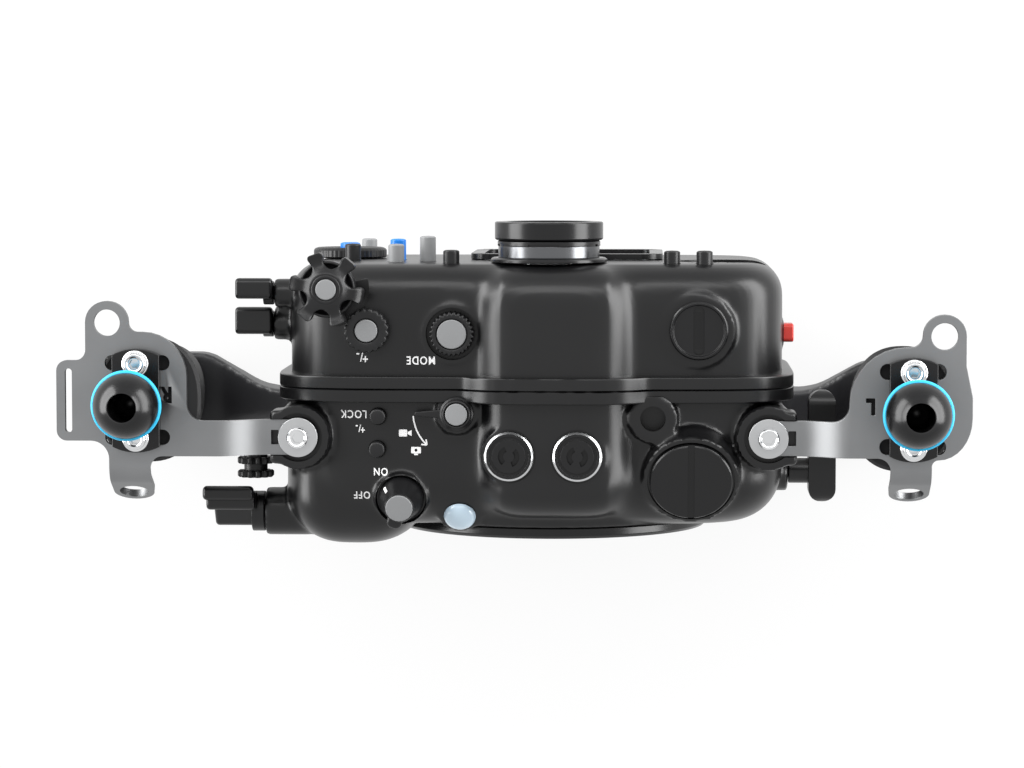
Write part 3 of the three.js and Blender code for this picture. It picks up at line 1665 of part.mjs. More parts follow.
function bracket(side) {
  const form = side.name === "right" ? webbingPlate : roundPlate;
  const plan = slabZ(roundedPolygon(bracketCorners(side)), strapFloorZ - overrun, plate.topZ + overrun);
  const span = Math.max(shell.frontDepth, shell.rearDepth);
  const sheet = common(plan, slabY(strapProfile(side), -span, span));
  const x = (out) => side.ballX + side.sign * out;
  const high = plate.topZ + overrun;
  const low = strapFloorZ - overrun;
  const clevisCentre = clevisX[side.name];
  const eye = clevisCentre + side.sign * plate.eyeOffset;
  const cuts = [
    rodZ(plate.lobeHoleRadius, low, high, x(form.lobeOut), side.ballY + form.lobeBack),
    slotZ(side.ballX, side.ballY + ball.screwSpacing / 2, plate.slotLength, plate.slotWidth),
    slotZ(side.ballX, side.ballY - ball.screwSpacing / 2, plate.slotLength, plate.slotWidth),
    rodZ(bracketScrew.shaftRadius + fit, low, high, clevisCentre, clevis.y, smallFacets),
    block(eye - plate.eyeLength / 2, eye + plate.eyeLength / 2, clevis.y - plate.eyeWidth / 2,
      clevis.y + plate.eyeWidth / 2, low, high),
  ];
  if (side.name === "right") {
    const slotX = x(form.loopEdge - form.slotEdge - form.slotWidth / 2);
    const slotY = side.ballY + (form.loopTop + form.loopBottom) / 2;
    cuts.push(slotZ(slotX, slotY, form.slotWidth, form.slotLength));
  }
  return cut(joined(sheet, bentTab(side, x(form.tabCentre))), ...cuts);
}

// A washer and a socket screw, which holds the end of the strap in the clevis
function bracketScrewBody() {
  const { washerRadius, washerThickness, headRadius, headHeight, shaftRadius, reach } = bracketScrew;
  const washerTop = fit + washerThickness;
  const key = headRadius / 2;
  return cut(turned([
    [0, -reach],
    [shaftRadius, -reach],
    [shaftRadius, fit],
    [washerRadius, fit],
    [washerRadius, washerTop],
    [headRadius, washerTop],
    [headRadius, washerTop + headHeight],
    [0, washerTop + headHeight],
  ], smallFacets), rodZ(key, washerTop + headHeight / 3, washerTop + headHeight + overrun, 0, 0, hexFacets));
}

// Ball mount: a base cut flat on two sides, a neck, and the ball with its ring groove
function ballMount() {
  const { radius, centreRise, neckRadius, neckFlare, baseRadius, baseWidth, baseHeight } = ball;
  const { holeRadius, holeDepth, ringRadius, ringSeat, screwSpacing } = ball;
  const base = common(
    rodZ(baseRadius, fit, baseHeight, 0, 0, largeFacets),
    block(-baseWidth / 2, baseWidth / 2, -baseRadius, baseRadius, 0, baseHeight),
  );
  const grooveHalf = ringRadius + fit;
  const profile = [
    [0, baseHeight - fit],
    [neckRadius, baseHeight - fit],
    [neckRadius - neckFlare / 2, baseHeight + neckFlare],
  ];
  const onBall = (angle) => [radius * Math.cos(angle), centreRise + radius * Math.sin(angle)];
  const low = -Math.acos((neckRadius - neckFlare / 2) / radius);
  const high = Math.acos(holeRadius / radius);
  const grooveAngle = Math.asin(grooveHalf / radius);
  for (let step = 0; step <= filletSteps; step++) {
    profile.push(onBall(low + ((-grooveAngle - low) * step) / filletSteps));
  }
  const grooveFloor = ringSeat - grooveHalf;
  profile.push([grooveFloor, centreRise - grooveHalf], [grooveFloor, centreRise + grooveHalf]);
  for (let step = 0; step <= filletSteps + 1; step++) {
    profile.push(onBall(grooveAngle + ((high - grooveAngle) * step) / (filletSteps + 1)));
  }
  const holeFloor = centreRise + radius - holeDepth;
  profile.push([holeRadius, holeFloor], [0, holeFloor]);
  const knob = turned(profile, ball.facets);
  const bore = ballScrew.shaftRadius + fit;
  const holes = [-1, 1].map((sign) =>
    rodZ(bore, -overrun, baseHeight + overrun, 0, (sign * screwSpacing) / 2, smallFacets));
  return cut(joined(base, knob), ...holes);
}

function ballRing() {
  return new THREE.TorusGeometry(ball.ringSeat, ball.ringRadius, smallFacets / 2, ball.facets)
    .translate(0, 0, ball.centreRise);
}

function ballScrewBody() {
  const { headRadius, headHeight, shaftRadius, reach, keyRadius, keyDepth } = ballScrew;
  return cut(turned([
    [0, -reach],
    [shaftRadius, -reach],
    [shaftRadius, fit],
    [headRadius, fit],
    [headRadius, headHeight - knurl.chamfer],
    [headRadius - knurl.chamfer, headHeight],
    [0, headHeight],
  ], smallFacets), rodZ(keyRadius, headHeight - keyDepth, headHeight + overrun, 0, 0, hexFacets));
}

// Grips: an upright oval column with finger grooves in front, under a flared cap
const gripTopZ = plate.topZ - strap.thickness - fit;
const gripBottomZ = arm.footThickness + fit;

// The column leans out and forward on its way down
function gripAxis(side, z) {
  const share = (gripTopZ - z) / (gripTopZ - gripBottomZ);
  const x = side.ballX + side.sign * (grip.lean * share - grip.setIn);
  return { x, y: side.ballY - grip.leanForward * share };
}

function gripBody(side) {
  const { halfWidth, halfLength, capHalfWidth, capHalfLength, capThickness } = grip;
  const { grooves, grooveDepth, taper, rings, facets } = grip;
  const levels = [];
  const capZ = gripTopZ - capThickness;
  const rise = capZ - capThickness - gripBottomZ;
  for (let i = 0; i <= rings; i++) levels.push(gripBottomZ + (rise * i) / rings);
  const sections = levels.map((z, i) => {
    const share = i / rings;
    const wave = (1 - Math.cos(2 * Math.PI * grooves * share)) / 2;
    const drawn = taper * (1 - Math.sin(Math.PI * share));
    return { z, w: halfWidth - drawn, l: halfLength - drawn, dent: grooveDepth * wave };
  });
  sections.push({ z: capZ, w: capHalfWidth, l: capHalfLength, dent: 0 });
  sections.push({ z: gripTopZ - fit, w: capHalfWidth, l: capHalfLength, dent: 0 });
  sections.push({ z: gripTopZ, w: capHalfWidth - fit, l: capHalfLength - fit, dent: 0 });
  const column = loft(sections.map(({ z, w, l, dent }) => {
    const axis = gripAxis(side, z);
    const ring = [];
    for (let i = 0; i < facets; i++) {
      const turn = (2 * Math.PI * i) / facets;
      const front = Math.max(-Math.sin(turn), 0);
      const y = axis.y + (l - dent * front) * Math.sin(turn);
      ring.push(new THREE.Vector3(axis.x + w * Math.cos(turn), y, z));
    }
    return ring;
  }));
  const bore = ballScrew.shaftRadius + fit;
  const [floor, high] = [gripTopZ - ballScrew.reach, gripTopZ + overrun];
  const holes = [-1, 1].map((sign) =>
    rodZ(bore, floor, high, side.ballX, side.ballY + (sign * ball.screwSpacing) / 2, smallFacets));
  return cut(column, ...holes);
}

// Arms: broad foot under the grip, narrow waist, deep root against the wall of the front shell
function armBody(side) {
  const wall = wallX[side.name] + side.sign * fit;
  const foot = gripAxis(side, gripBottomZ);
  const outer = foot.x + side.sign * arm.footReach;
  const inner = foot.x - side.sign * arm.footReach;
  const waist = wall + (inner - wall) * arm.waistShare;
  const rear = foot.y + arm.footReach;
  const front = foot.y - arm.footReach;
  const plan = roundedPolygon([
    [wall - side.sign * shell.wall, arm.rootRear, 0],
    [waist, arm.rootRear - arm.waistNarrowing, arm.rearFillet],
    [inner, rear, arm.endFillet],
    [outer, rear, arm.endFillet],
    [outer, front, arm.endFillet],
    [inner, front, arm.endFillet / 2],
    [waist, arm.rootFront + arm.waistNarrowing, arm.endFillet],
    [wall - side.sign * shell.wall, arm.rootFront, 0],
  ]);
  const profile = roundedPolygon([
    [wall - side.sign * shell.wall, arm.rootTop, 0],
    [wall + side.sign * arm.footReach / 3, arm.rootTop, arm.footReach / 3],
    [inner - side.sign * arm.footReach / 2, arm.footThickness, arm.footReach / 2],
    [outer + side.sign * overrun, arm.footThickness, 0],
    [outer + side.sign * overrun, 0, 0],
    [inner, 0, arm.footReach / 3],
    [waist, arm.rootBottom, arm.footReach / 3],
    [wall - side.sign * shell.wall, arm.rootBottom, 0],
  ]);
  const span = Math.max(shell.frontDepth, shell.rearDepth);
  const body = common(slabZ(plan, 0, arm.rootTop), slabY(profile, -span, span));
  const { frontDepth, frontRounding, rearDepth, rearRounding, flangeDepth, flangeOverhang } = shell;
  return cut(
    body,
    ovalBody(shellForm, -frontDepth, frontRounding, rearDepth, rearRounding, -fit),
    ovalBody(bulge, -bulge.depth, bulge.rounding, -flangeDepth, 0, -fit),
    outlinePrism(-flangeOverhang - fit, -flangeDepth - fit, flangeDepth + fit),
  );
}

// Camera tray on its rails, and the screw that holds the camera on it
const trayBottomZ = shell.bottomZ + shell.wall + tray.railHeight + fit;

function cameraTray() {
  const half = tray.width / 2;
  const top = trayBottomZ + tray.thickness;
  const middle = (tray.front + tray.rear) / 2;
  return cut(
    joined(
      block(-half, half, tray.front, tray.rear, trayBottomZ, top),
      block(-half, half, tray.front, tray.front + tray.stopHeight, top - fit, top + tray.stopHeight),
    ),
    rodZ(tray.screwRadius + fit, trayBottomZ - overrun, top + overrun, 0, middle, smallFacets),
  );
}

function trayScrew() {
  const head = tray.railHeight - fit * 2;
  return turned([
    [0, -fit - head],
    [tray.screwRadius * 2, -fit - head],
    [tray.screwRadius * 2, -fit],
    [tray.screwRadius, -fit],
    [tray.screwRadius, tray.thickness + tray.stopHeight * 2],
    [0, tray.thickness + tray.stopHeight * 2],
  ], smallFacets);
}

// The assembly
const housing = new THREE.Group();
housing.name = "underwater_camera_housing";

function add(name, item, finish, place = {}) {
  const mesh = new THREE.Mesh(toGeometry(item), new THREE.MeshStandardMaterial(finish));
  mesh.name = name;
  mesh.position.set(place.x || 0, place.y || 0, place.z || 0);
  mesh.rotation.x = place.lean || 0;
  housing.add(mesh);
}

add("front_shell", frontShell(), finishes.anodised);
add("rear_shell", rearShell(), finishes.anodised);
add("main_seal", mainSeal(), finishes.rubber);
add("port_ring", portRing(), finishes.anodised);
add("port_release_lever", portLeverBody(), finishes.anodised);
add("rear_window", rearWindow(), finishes.window);
add("window_frame", windowFrame(), finishes.anodised);
add("finder_mount", finderMount(), finishes.polished);
add("finder_ring", finderRing(), finishes.anodised);
add("finder_lens", finderLens(), finishes.lens);

add("star_dial", starDialBody(), finishes.polymer, seats.star);
add("star_dial_spindle",
  dialSpindle(starDial.dishHeight + starDial.spokeHeight, starDial.capRadius, starDial.bossRise),
  finishes.cap, seats.star);
add("exposure_dial", toothedDial(exposureDial), finishes.polymer, seats.exposure);
add("exposure_dial_spindle",
  dialSpindle(exposureDial.height, exposureDial.capRadius, exposureDial.bossRise),
  finishes.cap, seats.exposure);
add("mode_dial", toothedDial(modeDial), finishes.polymer, seats.mode);
add("mode_dial_spindle",
  dialSpindle(modeDial.height, modeDial.capRadius, modeDial.bossRise),
  finishes.cap, seats.mode);
add("power_switch", powerSwitchBody(), finishes.polymer, seats.power);
add("power_switch_spindle",
  dialSpindle(powerSwitch.knobHeight, powerSwitch.capRadius, powerSwitch.bossRise),
  finishes.cap, seats.power);
add("drive_lever", driveLeverBody(), finishes.polymer, seats.drive);
add("drive_lever_spindle",
  dialSpindle(driveLever.height, driveLever.capRadius, driveLever.bossRise),
  finishes.cap, seats.drive);
for (const [name, seat] of Object.entries(topButtonSeats)) {
  add(name, topButtonBody(), finishes.polymer, seat);
}
add("leak_lamp", leakLamp(), finishes.lens, seats.lamp);
for (const [name, seat] of Object.entries(plugSeats)) {
  add(`${name}_bulkhead_plug`, bulkheadPlugBody(), finishes.anodised, seat);
}
add("vacuum_plug", slottedCap({ ...vacuumPlug, radius: vacuumPlug.rimRadius },
  vacuumPlug.rimRadius - vacuumPlug.faceRadius, vacuumPlug.faceSink), finishes.anodised, seats.vacuum);
add("bulkhead_cap", slottedCap(bulkheadCap, knurl.chamfer * 2, 0), finishes.anodised, seats.cap);

add("record_lever", thumbLever(recordLever, recordSeat), finishes.anodised);
add("af_on_lever", thumbLever(afLever, afSeat), finishes.anodised);
add("shutter_lever", shutterLeverBody(), finishes.anodised);
add("front_dial", frontDialBody(), finishes.polymer);
add("control_wheel", controlWheelBody(), finishes.polymer, { x: wheelSeat.x, z: wheelSeat.z });
const buttonFinishes = {
  playback_button: finishes.blueButton,
  record_button: finishes.blueButton,
  function_button: finishes.cap,
  focus_button: finishes.cap,
  delete_button: finishes.cap,
};
for (const [name, place] of Object.entries(rearButtonPlaces)) {
  add(name, rearButtonBody(place), buttonFinishes[name] || finishes.polymer);
}
add("latch_knob", latchKnob(), finishes.anodised, { x: latchSeat.x, z: latchSeat.z });
add("latch_button", latchButtonBody(), finishes.redButton);

for (const side of Object.values(sides)) {
  const base = { x: side.ballX, y: side.ballY, z: plate.topZ };
  add(`${side.name}_arm`, armBody(side), finishes.anodised);
  add(`${side.name}_grip`, gripBody(side), finishes.rubber);
  add(`${side.name}_bracket`, bracket(side), finishes.stainless);
  add(`${side.name}_bracket_screw`, bracketScrewBody(), finishes.polished,
    { x: clevisX[side.name], y: clevis.y, z: strapTopZ });
  add(`${side.name}_ball`, ballMount(), finishes.anodised, base);
  add(`${side.name}_ball_ring`, ballRing(), finishes.blueRubber, base);
  for (const [place, sign] of [["front", -1], ["rear", 1]]) {
    add(`${side.name}_${place}_ball_screw`, ballScrewBody(), finishes.polished,
      { x: base.x, y: base.y + (sign * ball.screwSpacing) / 2, z: base.z + ball.baseHeight });
  }
}

add("camera_tray", cameraTray(), finishes.anodised);
add("tray_screw", trayScrew(), finishes.polished,
  { y: (tray.front + tray.rear) / 2, z: trayBottomZ });

housing.position.y = -(pad.front + pad.rear) / 2;

export default housing;
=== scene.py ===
"""Looks of an underwater camera housing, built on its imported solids.

Lengths are millimetres in the row frame until a piece is finished. +Z is up, the lens looks
along -Y, and the operator's right hand is at -X. The shells part at y = 24.
"""

import logging
import math
from dataclasses import dataclass
from enum import Enum
from typing import Callable, Iterable, Sequence

import bmesh
import bpy
from bmesh.types import BMEdge, BMesh, BMVert
from mathutils import Matrix, Vector
from mathutils.bvhtree import BVHTree


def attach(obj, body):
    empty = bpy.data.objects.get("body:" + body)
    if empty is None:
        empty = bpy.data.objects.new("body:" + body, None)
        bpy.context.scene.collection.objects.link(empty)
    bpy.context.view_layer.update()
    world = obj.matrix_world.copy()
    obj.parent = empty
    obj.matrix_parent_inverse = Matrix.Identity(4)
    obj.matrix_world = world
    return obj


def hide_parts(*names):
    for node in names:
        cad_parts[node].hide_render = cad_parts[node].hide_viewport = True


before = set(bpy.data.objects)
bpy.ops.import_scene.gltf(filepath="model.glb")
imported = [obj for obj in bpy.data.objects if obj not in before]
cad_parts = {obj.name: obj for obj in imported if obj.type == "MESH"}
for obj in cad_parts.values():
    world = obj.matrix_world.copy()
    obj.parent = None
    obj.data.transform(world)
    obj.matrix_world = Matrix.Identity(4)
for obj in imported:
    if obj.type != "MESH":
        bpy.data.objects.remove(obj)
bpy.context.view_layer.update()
log = logging.getLogger("housing")

MILLIMETRE = 0.001
PARTING_Y = 24.0
LONGEST_RAY, RAY_STEP = 160.0, 0.25
GAP = 0.3
QUARTER = math.pi / 2
# How wide the patches are that handling and blasting leave, in millimetres, how much lighter and
# darker they get, and how far the roughness drifts with them.
PATCH = 22.0
LIGHTER, DARKER, SHEEN_DRIFT = 1.12, 0.9, 0.04
# How much of the type's size a capital takes, and how far the print's letters are narrowed.
CAPITAL_SHARE, NARROWING = 0.7, 0.82
# How deep light runs into frosted plastic, in millimetres.
SKIN_DEPTH = 4.0

Point = tuple[float, float, float]
Pair = tuple[float, float]
Ring = Callable[[tuple[float, ...], float], Point]
Tree = bpy.types.NodeTree
Socket = bpy.types.NodeSocket


def linear(hex_colour: str) -> tuple[float, ...]:
    """Turn an sRGB hex colour to linear red, green and blue and an alpha of one."""
    levels = [int(hex_colour[i : i + 2], 16) / 255 for i in (1, 3, 5)]
    return *[v / 12.92 if v <= 0.04045 else ((v + 0.055) / 1.055) ** 2.4 for v in levels], 1.0


def add_node(tree: Tree, kind: str, inputs: dict | None = None, **settings) -> bpy.types.Node:
    """Add one node with its settings, socket values and links.

    Args:
        tree: the node tree.
        kind: the node's type name.
        inputs: socket name or number to a value, or to the socket that it is linked from.
        **settings: properties of the node.

    Returns:
        The new node.
    """
    made = tree.nodes.new(kind)
    for name, value in settings.items():
        setattr(made, name, value)
    for socket, value in (inputs or {}).items():
        if isinstance(value, Socket):
            tree.links.new(value, made.inputs[socket])
        else:
            made.inputs[socket].default_value = value
    return made


def empty_tree(owner: bpy.types.Material | bpy.types.World) -> Tree:
    """Return the emptied node tree of a material or world."""
    owner.use_nodes = True
    owner.node_tree.nodes.clear()
    return owner.node_tree


class Texture(Enum):
    """How a surface was made."""

    BLASTED = "blasted"
    BRUSHED = "brushed"
    MOULDED = "moulded"
    RUBBER = "rubber"
    POLISHED = "polished"
    CLEAR = "clear"
    FROSTED = "frosted"
    PRINTED = "printed"


@dataclass(frozen=True)
class Finish:
    """One finish, named for the real material.

    Grain is the real size of the pattern in millimetres and relief its height.
    """

    name: str
    slot: str
    texture: Texture
    colour: str
    roughness: float
    metallic: float = 0.0
    ior: float = 1.5
    grain: float = 0.6
    relief: float = 0.01
    stretch: Point = (1.0, 1.0, 1.0)

    def material(self) -> bpy.types.Material:
        """Return the finish's material, made once."""
        known = bpy.data.materials.get(self.name)
        if known:
            return known
        made = bpy.data.materials.new(self.name)
        tree = empty_tree(made)
        shader = add_node(tree, "ShaderNodeBsdfPrincipled", {"Metallic": self.metallic, "IOR": self.ior})
        place = add_node(tree, "ShaderNodeTexCoord").outputs["Object"]
        self.add_grain(tree, shader, place)
        self.add_tone(tree, shader, place)
        if self.texture is Texture.CLEAR:
            shader.inputs["Transmission Weight"].default_value = 1.0
        if self.texture is Texture.FROSTED:
            shader.inputs["Subsurface Weight"].default_value = 0.4
            shader.inputs["Subsurface Radius"].default_value = (SKIN_DEPTH * MILLIMETRE,) * 3
            shader.inputs["Coat Weight"].default_value = 0.6
        add_node(tree, "ShaderNodeOutputMaterial", {"Surface": shader.outputs["BSDF"]})
        return made

    def add_grain(self, tree: Tree, shader: bpy.types.Node, place: Socket) -> None:
        """Give the surface its fine relief.

        Args:
            tree: the material's node tree.
            shader: the surface shader.
            place: the coordinates that the pattern reads.
        """
        if self.relief <= 0:
            return
        stretched = add_node(tree, "ShaderNodeMapping", {"Vector": place, "Scale": self.stretch})
        scale = 1 / (self.grain * MILLIMETRE)
        pattern = {"Vector": stretched.outputs["Vector"], "Scale": scale, "Detail": 3.0, "Roughness": 0.6}
        noise = add_node(tree, "ShaderNodeTexNoise", pattern)
        relief = {"Height": noise.outputs["Fac"], "Strength": 1.0, "Distance": self.relief * MILLIMETRE}
        bump = add_node(tree, "ShaderNodeBump", relief)
        tree.links.new(bump.outputs["Normal"], shader.inputs["Normal"])

    def add_tone(self, tree: Tree, shader: bpy.types.Node, place: Socket) -> None:
        """Give the surface its colour and sheen, with the slow drift that handling and blasting leave.

        Args:
            tree: the material's node tree.
            shader: the surface shader.
            place: the coordinates that the pattern reads.
        """
        patches = {"Vector": place, "Scale": 1 / (PATCH * MILLIMETRE), "Detail": 4.0, "Roughness": 0.55}
        drift = add_node(tree, "ShaderNodeTexNoise", patches).outputs["Fac"]
        base = linear(self.colour)
        light = tuple(min(v * LIGHTER, 1.0) for v in base[:3]) + (1.0,)
        dark = tuple(v * DARKER for v in base[:3]) + (1.0,)
        # The Mix node's colours are its inputs 6 and 7 and its output 2.
        mixed = add_node(tree, "ShaderNodeMix", {"Factor": drift, 6: dark, 7: light}, data_type="RGBA")
        tree.links.new(mixed.outputs[2], shader.inputs["Base Color"])
        low, high = max(self.roughness - SHEEN_DRIFT, 0.01), self.roughness + SHEEN_DRIFT
        sheen = add_node(tree, "ShaderNodeMapRange", {"Value": drift, "To Min": low, "To Max": high})
        tree.links.new(sheen.outputs["Result"], shader.inputs["Roughness"])


class Finishes:
    """Every finish of the housing."""

    # Bead-blasted and hard anodised: a deep black skin with a broad soft shine. The grain of the
    # glass beads, 0.1 mm across, is drawn 0.5 mm coarse so that it shows.
    casting = Finish(
        "anodised_aluminium_cast", "anodised", Texture.BLASTED, "#0b0b0c", 0.31, 0.0, 1.42, 0.5, 0.003
    )
    # The same skin on the arms, blasted a little coarser, and painted lighter and greyer than the casting's
    # black: painted light that makes the low arms render brighter than the lamps light them.
    arm = Finish("anodised_aluminium_arm_painted_light", "anodised", Texture.BLASTED, "#262628", 0.4, 0.0, 1.45, 0.6, 0.004)
    # Turned and hard anodised: the same black, closer and a little brighter on its edges.
    turned = Finish(
        "anodised_aluminium_turned", "anodised", Texture.BLASTED, "#0f0f10", 0.24, 0.0, 1.38, 0.5, 0.001
    )
    # Glass-filled nylon, moulded: satin black with a faint spark-eroded grain.
    nylon = Finish("moulded_nylon", "polymer", Texture.MOULDED, "#131314", 0.36, 0.0, 1.38, 0.6, 0.008)
    # Soft-touch moulded rubber: dull black with a pebbled skin that breaks up every highlight.
    grip = Finish("soft_touch_rubber", "grip_rubber", Texture.RUBBER, "#161617", 0.6, 0.0, 1.4, 1.1, 0.04)
    # Nitrile cord for the main seal: smooth and dull.
    seal = Finish("nitrile_rubber", "seal_rubber", Texture.RUBBER, "#1a1a1a", 0.55, 0.0, 1.52, 0.8, 0.01)
    # Stainless sheet, brushed along its length: grey with fine streaks, brighter where it bends.
    sheet = Finish(
        "brushed_stainless", "stainless", Texture.BRUSHED, "#7e7f80", 0.44, 1.0, 1.5, 0.5, 0.006,
        stretch=(0.04, 1.0, 1.0),
    )
    # Polished stainless screws: bright, with dark and light bands.
    steel = Finish(
        "polished_stainless", "polished_steel", Texture.POLISHED, "#d2d3d4", 0.14, 1.0, 1.5, 0.8, 0.002
    )
    # Stainless washers, tumbled: a plain light grey, softer than the screws.
    washer = Finish("tumbled_stainless", "stainless", Texture.POLISHED, "#b3b4b5", 0.34, 1.0, 1.5, 0.8, 0.003)
    # Turned stainless finder mount, brushed round, with soft light bands. Its dark grey, far darker than the
    # other stainless, is painted shade in place of the glint its steel would show.
    neck = Finish("turned_stainless_painted_shade", "stainless", Texture.POLISHED, "#626365", 0.24, 1.0, 1.5, 0.8, 0.004)
    # Acetal caps in the middle of the controls: plain light grey with a dull sheen.
    acetal = Finish("grey_acetal", "grey_cap", Texture.MOULDED, "#7e7f80", 0.5, 0.0, 1.48, 0.5, 0.006)
    # Silicone rings on the balls: smooth cyan.
    silicone = Finish("cyan_silicone", "blue_rubber", Texture.RUBBER, "#2cb0dc", 0.4, 0.0, 1.41, 1.0, 0.006)
    # Bright hairline on the chamfer of the anodised plugs: a painted highlight, the light that the chamfer
    # catches, drawn as a ring of bright metal all round.
    cut = Finish(
        "painted_highlight_aluminium", "polished_steel", Texture.POLISHED, "#c2c3c4", 0.25, 1.0, 1.5, 0.5, 0.0
    )
    # Moulded polycarbonate heads, glossy enough to hold a small highlight.
    blue = Finish("blue_polycarbonate", "blue_button", Texture.MOULDED, "#0e6fc6", 0.3, 0.0, 1.45, 0.6, 0.004)
    red = Finish("red_polycarbonate", "red_button", Texture.MOULDED, "#c43830", 0.36, 0.0, 1.45, 0.6, 0.004)
    # Frosted polycarbonate dome: milky pale blue that lets light into its skin.
    dome = Finish("frosted_polycarbonate", "lens", Texture.FROSTED, "#c4d8e6", 0.18, 0.0, 1.5, 0.6, 0.002)
    # Coated glass of the finder and clear pane of the rear window.
    lens = Finish("coated_glass", "lens", Texture.CLEAR, "#8fa3b5", 0.03, 0.0, 1.52, 0.6, 0.0)
    pane = Finish("clear_acrylic", "window", Texture.CLEAR, "#6f7c84", 0.04, 0.0, 1.49, 0.6, 0.0)
    # Screen-printed epoxy ink: flat white, a hair thick.
    ink = Finish("white_epoxy_ink", "grey_cap", Texture.PRINTED, "#f2f2f2", 0.5, 0.0, 1.5, 0.4, 0.003)


class Facing(Enum):
    """The way in which the local z axis of a turned piece points."""

    UP = (0.0, 0.0, 1.0)
    DOWN = (0.0, 0.0, -1.0)
    REAR = (0.0, 1.0, 0.0)
    FRONT = (0.0, -1.0, 0.0)
    RIGHT_HAND = (-1.0, 0.0, 0.0)
    LEFT_HAND = (1.0, 0.0, 0.0)


@dataclass(frozen=True)
class Seat:
    """Where a control sits: the middle of its boss and how far that leans forward, in degrees."""

    x: float
    y: float
    z: float
    facing: Facing = Facing.UP
    lean: float = 0.0

    def matrix(self) -> Matrix:
        """Return the move from the local axes of a turned piece to its place."""
        turn = Vector((0, 0, 1)).rotation_difference(Vector(self.facing.value)).to_matrix().to_4x4()
        lean = Matrix.Rotation(math.radians(self.lean), 4, "X")
        return Matrix.Translation((self.x, self.y, self.z)) @ lean @ turn


def in_scene(name: str, data: bpy.types.ID) -> bpy.types.Object:
    """Link data to the scene as an object of this name."""
    made = bpy.data.objects.new(name, data)
    bpy.context.scene.collection.objects.link(made)
    return made


def mesh_from(shape: BMesh, name: str) -> bpy.types.Mesh:
    """Turn a shape, used up by this, into mesh data of this name."""
    mesh = bpy.data.meshes.new(name)
    shape.to_mesh(mesh)
    shape.free()
    return mesh


def moved(shape: BMesh, move: Matrix) -> BMesh:
    """Move a shape by a matrix and return it."""
    bmesh.ops.transform(shape, matrix=move, verts=shape.verts)
    return shape


def swung(shape: BMesh, turn: Matrix) -> BMesh:
    """Turn a shape about the origin and return it."""
    bmesh.ops.rotate(shape, verts=shape.verts, cent=(0, 0, 0), matrix=turn)
    return shape


def placed(shape: BMesh, seat: Seat) -> BMesh:
    """Move a shape from its own axes to a seat and return it."""
    return moved(shape, seat.matrix())


def raised(shape: BMesh, height: float) -> BMesh:
    """Pull flat faces up into a closed shape and return it."""
    grown = bmesh.ops.extrude_face_region(shape, geom=shape.faces[:])["geom"]
    tops = [item for item in grown if isinstance(item, BMVert)]
    bmesh.ops.translate(shape, vec=(0, 0, height), verts=tops)
    bmesh.ops.recalc_face_normals(shape, faces=shape.faces)
    return shape


def spun(shape: BMesh, angle: float, steps: int, full: bool = False) -> BMesh:
    """Spin a shape about the z axis, merging its ends where the spin is full, and return it."""
    bmesh.ops.spin(
        shape, geom=shape.verts[:] + shape.edges[:], cent=(0, 0, 0), axis=(0, 0, 1), dvec=(0, 0, 0),
        angle=angle, steps=steps, use_merge=full,
    )
    return shape


def sliced(shape: BMesh, place: Point, normal: Point, clear: bool = True, slack: float = 0.0) -> BMesh:
    """Cut a shape at a plane, clear what lies past it where asked, and return it."""
    everything = shape.verts[:] + shape.edges[:] + shape.faces[:]
    bmesh.ops.bisect_plane(
        shape, geom=everything, plane_co=place, plane_no=normal, clear_outer=clear, dist=slack
    )
    return shape


def smoothed(shape: BMesh, verts: Sequence[BMVert]) -> BMesh:
    """Smooth some corners of a shape once and return it."""
    bmesh.ops.smooth_vert(
        shape, verts=verts, factor=0.5, use_axis_x=True, use_axis_y=True, use_axis_z=True
    )
    return shape


def joined(*shapes: BMesh) -> BMesh:
    """Put several closed shapes, used up by this, in one mesh, each left whole."""
    whole = bmesh.new()
    for shape in shapes:
        carrier = mesh_from(shape, "carrier")
        whole.from_mesh(carrier)
        bpy.data.meshes.remove(carrier)
    return whole


def softened(shape: BMesh, width: float, angle: float = 34.0, segments: int = 3) -> BMesh:
    """Round the edges that are sharper than an angle.

    Args:
        shape: the shape.
        width: how far from the edge the rounding starts.
        angle: edges that turn less than this many degrees stay.
        segments: steps of the rounding.

    Returns:
        The same shape.
    """
    limit = math.radians(angle)
    sharp = [e for e in shape.edges if len(e.link_faces) == 2 and e.calc_face_angle(0.0) > limit]
    if sharp:
        bmesh.ops.bevel(
            shape, geom=sharp, offset=width, affect="EDGES", segments=segments, profile=0.5, material=-1,
            clamp_overlap=True,
        )
    return shape


def turned(profile: Sequence[Pair], rounding: float = 0.3, segments: int = 64) -> BMesh:
    """Spin a profile about the z axis and round its corners.

    Args:
        profile: radius and height of each corner, closed on the axis or on itself.
        rounding: width of the rounded edges.
        segments: steps of the spin.

    Returns:
        A closed shape.
    """
    shape = bmesh.new()
    corners = [shape.verts.new((radius, 0.0, height)) for radius, height in profile]
    for start, end in zip(corners, corners[1:]):
        shape.edges.new((start, end))
    spun(shape, 2 * math.pi, segments, full=True)
    bmesh.ops.remove_doubles(shape, verts=shape.verts, dist=0.001)
    bmesh.ops.recalc_face_normals(shape, faces=shape.faces)
    return softened(shape, rounding) if rounding > 0 else shape


